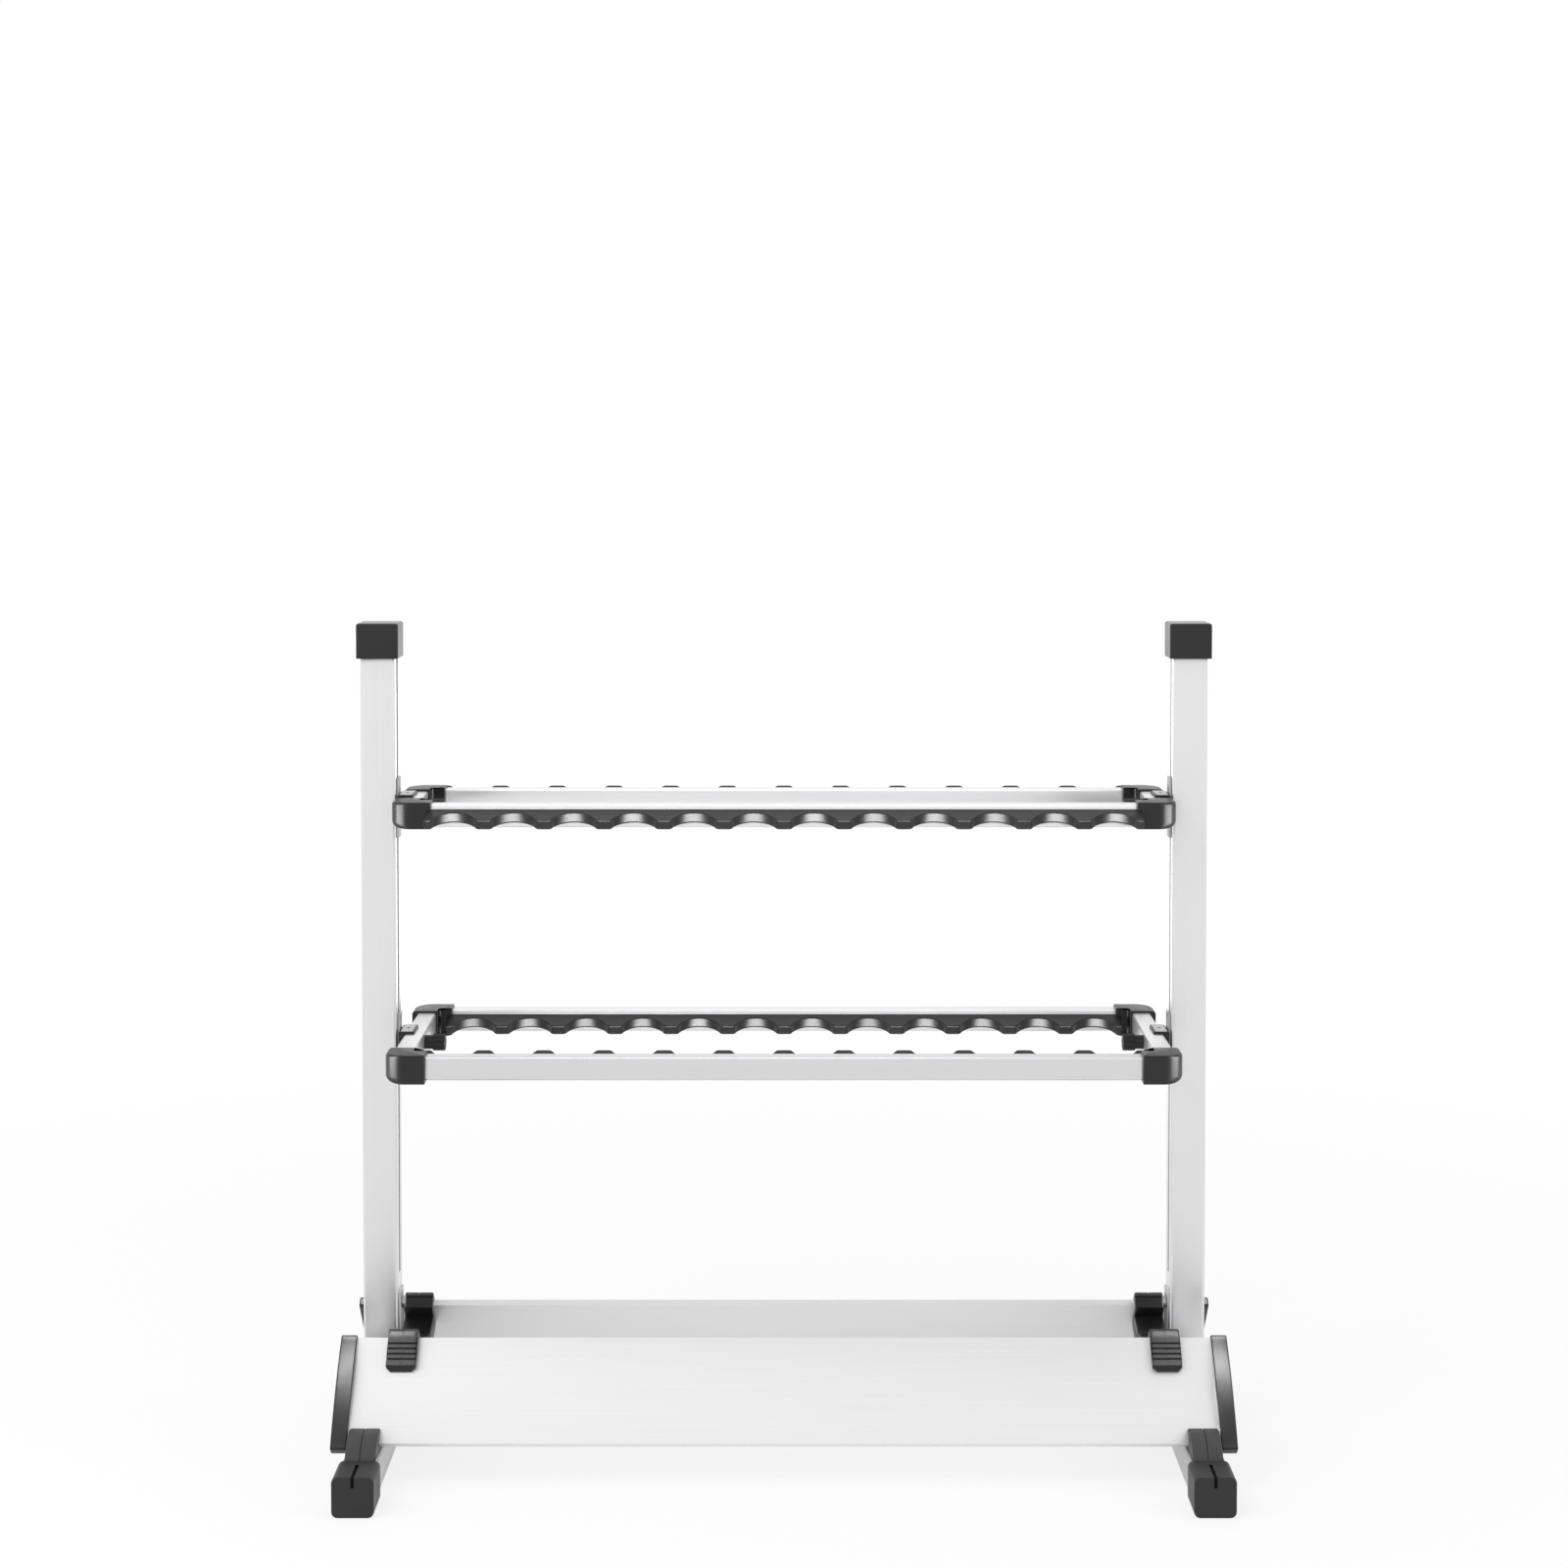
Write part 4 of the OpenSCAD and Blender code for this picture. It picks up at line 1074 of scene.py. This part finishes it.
def mark_rings(node):
    """A small round mark on the cover plate: a circle, carried up Z."""
    low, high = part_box(node)
    centre = (0.5 * (low.x + high.x), 0.5 * (low.y + high.y))
    outline = arc(centre, MARK_RADIUS, 0.0, 2.0 * math.pi, MARK_POINTS + 1)[:-1]
    start, end = high.z + MARK_FROM_TO[0], high.z + MARK_FROM_TO[1]
    return carried(outline, soft_ends(start, end, *MARK_EDGES))


# %% Knobs
KNOB_HEAD = 6.6 * MM
KNOB_NECK = 5.4 * MM
KNOB_HEAD_LONG = 9.5 * MM
LOBES = 6
HOLLOW_FAR = 7.6 * MM
HOLLOW_ROUND = 2.2 * MM
KNOB_EDGE = 0.9 * MM
KNOB_BACK_EDGE = 0.5 * MM
KNOB_POINTS = 180
DISH_DEPTH = 0.5 * KNOB_EDGE
DISH_RIM_IN = 0.4 * KNOB_HEAD
DISH_FLOOR_IN = 0.5 * KNOB_HEAD
LEAST_RADIUS = 0.5 * MM


def full_turn(count):
    """Evenly spread angles round a circle."""
    return np.linspace(0.0, 2.0 * math.pi, count, endpoint=False)


def turned(node, places, radius):
    """Rings round the line along X through a node's middle height: y is the radius times the
    angle's sine, and z that height plus the radius times its cosine."""
    low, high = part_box(node)
    angles = full_turn(radius.shape[1])
    x = np.broadcast_to(places[:, None], radius.shape)
    z = 0.5 * (low.z + high.z) + radius * np.cos(angles)
    return np.stack([x, radius * np.sin(angles), z], -1)


def lobed(angles):
    """Radius of the knob's head by angle: its circle, or the near side of a hollow's circle
    where the ray from the middle meets one: far cos(a) - sqrt(round^2 - far^2 sin(a)^2)."""
    off = (angles + math.pi / LOBES) % (2.0 * math.pi / LOBES) - math.pi / LOBES
    under_root = HOLLOW_ROUND ** 2 - (HOLLOW_FAR * np.sin(off)) ** 2
    near = HOLLOW_FAR * np.cos(off) - np.sqrt(np.maximum(under_root, 0.0))
    return np.where(under_root > 0.0, np.minimum(near, KNOB_HEAD), KNOB_HEAD)


def knob_rings(node, face):
    """Radius by distance from the bar's face: a dished end, the lobed head and a round hub."""
    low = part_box(node)[0]
    head_start = low.x + KNOB_HEAD_LONG
    head = soft_ends(low.x, head_start, KNOB_EDGE, KNOB_BACK_EDGE)
    dish = [[low.x + DISH_DEPTH, DISH_FLOOR_IN], [low.x, DISH_RIM_IN]]
    hub = [[head_start + STEEP, KNOB_HEAD - KNOB_NECK], [face, KNOB_HEAD - KNOB_NECK]]
    profile = np.vstack([dish, head, hub])
    in_head = np.arange(len(profile))[:, None] < len(profile) - len(hub)
    shape = np.where(in_head, lobed(full_turn(KNOB_POINTS)), KNOB_HEAD)
    return turned(node, profile[:, 0], np.maximum(shape - profile[:, 1, None], LEAST_RADIUS))


# %% Studs
STUD_RADIUS = 3.0 * MM
STUD_EDGE = 0.4 * MM
STUD_POINTS = 32


def stud_rings(node, face):
    """The clamp's stud: a plain round bar from the knob to the end that the part has."""
    stations = soft_ends(face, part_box(node)[1].x, 0.0, STUD_EDGE)
    radius = np.repeat(STUD_RADIUS - stations[:, 1, None], STUD_POINTS, 1)
    return turned(node, stations[:, 0], radius)


# %% The four clamps
for level in ("lower", "upper"):
    bar_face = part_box(f"{level}_bar_right")[0].x - CLEAR
    for side_name, side in SIDES:
        ways = ((saddle_rings(f"{level}_saddle_right", f"{level}_bar_right"), "_moulding",
                 finish_black, "black_plastic"),
                (cover_rings(f"{level}_saddle_right"), "_cover", finish_steel, "steel"),
                (mark_rings(f"{level}_saddle_right"), "_mark", finish_black, "black_plastic"))
        for rings, suffix, material, slot_name in ways:
            add_piece(f"{level}_saddle_{side_name}{suffix}", on_side(rings, side, -1.0), material,
                      level + "_frame", slot_name, f"{level}_saddle_{side_name}")
        knob = f"{level}_knob_{side_name}"
        add_piece(knob + "_head", on_side(knob_rings(f"{level}_knob_right", bar_face), side, -1.0),
                  finish_black, knob, "black_plastic", knob)
        add_piece(knob + "_stud", on_side(stud_rings(f"{level}_knob_right", bar_face), side, -1.0),
                  finish_steel, knob, "steel", knob)
    print(level, "clamps at X", round(bar_face, 4))

# %% [markdown]
# The studio is a pale floor that runs off to white, and a white world for the metal to
# mirror. More light on the rack would whiten the floor too, but it would also burn out the
# metal, so the floor adds its own white to what the camera and the mirrors see of it.

# %% Floor
FLOOR_HALF = 6.0
FLOOR_DROP = 0.2 * MM
FLOOR_GREY = (0.92, 0.92, 0.92, 1.0)
FLOOR_ROUGH = 0.8
NEAR_WHITE = 0.8
FADE_FROM = 0.45
FADE_TO = 1.5


def make_floor():
    """A wide flat floor: mostly white to the camera near the rack, with the rack's shadow in
    the rest, and all white further off. A mirror sees the same floor."""
    mesh = bpy.data.meshes.new("floor")
    corners = [(-FLOOR_HALF, -FLOOR_HALF, 0), (FLOOR_HALF, -FLOOR_HALF, 0),
               (FLOOR_HALF, FLOOR_HALF, 0), (-FLOOR_HALF, FLOOR_HALF, 0)]
    mesh.from_pydata(corners, [], [(0, 1, 2, 3)])
    floor = bpy.data.objects.new("floor", mesh)
    floor.location.z = -FLOOR_DROP
    scene.collection.objects.link(floor)
    material, tree, shader = blank_material("pale_floor")
    shader.inputs["Base Color"].default_value = FLOOR_GREY
    shader.inputs["Roughness"].default_value = FLOOR_ROUGH
    place = add_node(tree, "ShaderNodeTexCoord")
    distance = add_node(tree, "ShaderNodeVectorMath", operation="LENGTH")
    tree.links.new(place.outputs["Object"], distance.inputs[0])
    white = add_node(tree, "ShaderNodeMapRange", _From_Min=FADE_FROM, _From_Max=FADE_TO,
                     _To_Min=NEAR_WHITE)
    tree.links.new(distance.outputs["Value"], white.inputs["Value"])
    light_path = add_node(tree, "ShaderNodeLightPath")
    seen = combined(tree, "MAXIMUM", light_path.outputs["Is Camera Ray"],
                    light_path.outputs["Is Glossy Ray"])
    share = combined(tree, "MULTIPLY", seen, white.outputs["Result"])
    glow = add_node(tree, "ShaderNodeEmission")
    glow.inputs["Color"].default_value = (1.0, 1.0, 1.0, 1.0)
    blend = add_node(tree, "ShaderNodeMixShader")
    tree.links.new(share, blend.inputs["Fac"])
    tree.links.new(shader.outputs[0], blend.inputs[1])
    tree.links.new(glow.outputs[0], blend.inputs[2])
    tree.links.new(blend.outputs[0], tree.nodes["Material Output"].inputs["Surface"])
    mesh.materials.append(material)


make_floor()
print("floor", 2.0 * FLOOR_HALF, "m wide, white from", FADE_FROM, "to", FADE_TO)

# %% World
PLAIN_LEVEL = 0.7


def make_world():
    """White where the camera or a reflection sees it, and a softer level for plain light."""
    world = bpy.data.worlds.new("studio")
    scene.world = world
    world.use_nodes = True
    tree = world.node_tree
    back = tree.nodes["Background"]
    back.inputs["Color"].default_value = (1.0, 1.0, 1.0, 1.0)
    light_path = add_node(tree, "ShaderNodeLightPath")
    seen = light_path.outputs["Is Camera Ray"]
    for ray in ("Is Glossy Ray", "Is Transmission Ray"):
        seen = combined(tree, "MAXIMUM", seen, light_path.outputs[ray])
    level = add_node(tree, "ShaderNodeMapRange", _To_Min=PLAIN_LEVEL, _To_Max=1.0)
    tree.links.new(seen, level.inputs["Value"])
    tree.links.new(level.outputs["Result"], back.inputs["Strength"])


make_world()
print("world", scene.world.name, "at", PLAIN_LEVEL)

# %% [markdown]
# Glossy black shows only what it mirrors, so narrow panels draw the bright bands in the
# hollows, on the strips and levers and round the corners. Each panel reaches one group of
# pieces and shows in mirrors alone. Plain lamps do the rest: a key from the front left, a
# fill from each side, one from above that draws a line on every tube, and faint ones low
# between the plates, where the rack would otherwise be darker than the photograph shows.

# %% How a lamp is made


def add_lamp(name, place, target, size, power, group=None, shows="both"):
    """A soft lamp that faces target. It may reach one group of pieces alone, and it shows in
    "mirrored" light alone, where it draws a highlight and lights nothing, in "plain" light
    alone, or in both."""
    data = bpy.data.lights.new(name, "AREA")
    data.shape = "RECTANGLE"
    data.size, data.size_y = size
    data.energy = power
    lamp = bpy.data.objects.new(name, data)
    lamp.location = place
    aim = Vector(target) - Vector(place)
    lamp.rotation_euler = aim.to_track_quat("-Z", "Y").to_euler()
    lamp.visible_camera = False
    lamp.visible_diffuse = shows != "mirrored"
    lamp.visible_glossy = shows != "plain"
    scene.collection.objects.link(lamp)
    if group:
        lamp.light_linking.receiver_collection = lamp_groups[group]


# %% Lamps: name, place, target, width and height, watts, the group reached, and where it shows
PLATE_AIM = (0.0, -0.08, 0.1)
LAMPS = (
    ("key", (-1.3, -1.5, 2.2), (0.0, 0.0, 0.2), (1.0, 1.0), 22.0, None, "plain"),
    ("tube_lines", (0.0, -0.46, 2.2), PLATE_AIM, (2.4, 0.5), 10.0, "tubes", "both"),
    ("over_strips", (0.0, -0.54, 2.25), PLATE_AIM, (2.4, 0.2), 100.0, "strips", "mirrored"),
    ("over_levers", (0.0, -0.36, 2.25), PLATE_AIM, (2.4, 0.2), 90.0, "levers", "mirrored"),
    ("front_upper", (0.0, -0.7, 0.42), (0.0, 0.0, 0.42), (1.0, 0.24), 40.0, "upper_scallops",
     "mirrored"),
    ("front_lower", (0.0, -0.7, 0.16), (0.0, 0.0, 0.16), (1.0, 0.24), 44.0, "lower_scallops",
     "mirrored"),
    ("rear_upper", (0.0, 0.7, 0.2), (0.0, 0.0, 0.2), (1.2, 0.36), 12.0, "upper_scallops",
     "mirrored"),
    ("rear_lower", (0.0, 0.7, 0.2), (0.0, 0.0, 0.2), (1.2, 0.36), 12.0, "lower_scallops",
     "mirrored"),
    ("post_sides", (0.0, 1.5, 0.4), (0.0, 0.0, 0.4), (1.4, 1.2), 5.0, "posts", "mirrored"),
    ("floor_bounce", (0.0, 0.0, 0.012), (0.0, 0.0, 0.3), (0.56, 0.15), 0.035, "plates", "both"))
for row in LAMPS:
    add_lamp(*row)
for side_name, side in SIDES:
    for end_name, end in ENDS:
        add_lamp("post_foot_" + end_name + "_" + side_name, (0.302 * side, 0.055 * end, 0.075),
                 (0.304 * side, 0.0, 0.095), (0.03, 0.025), 0.0016, "posts")
    add_lamp(side_name + "_fill", (2.0 * side, -0.8, 1.2), (0.0, 0.0, 0.3), (0.9, 1.6), 10.0,
             shows="plain")
    add_lamp(side_name + "_ends", (1.53 * side, -0.55, 0.25), (0.3 * side, -0.1, 0.25),
             (1.2, 0.5), 38.0, "round_ends", "mirrored")

# %% View transform
scene.view_settings.view_transform = "Standard"
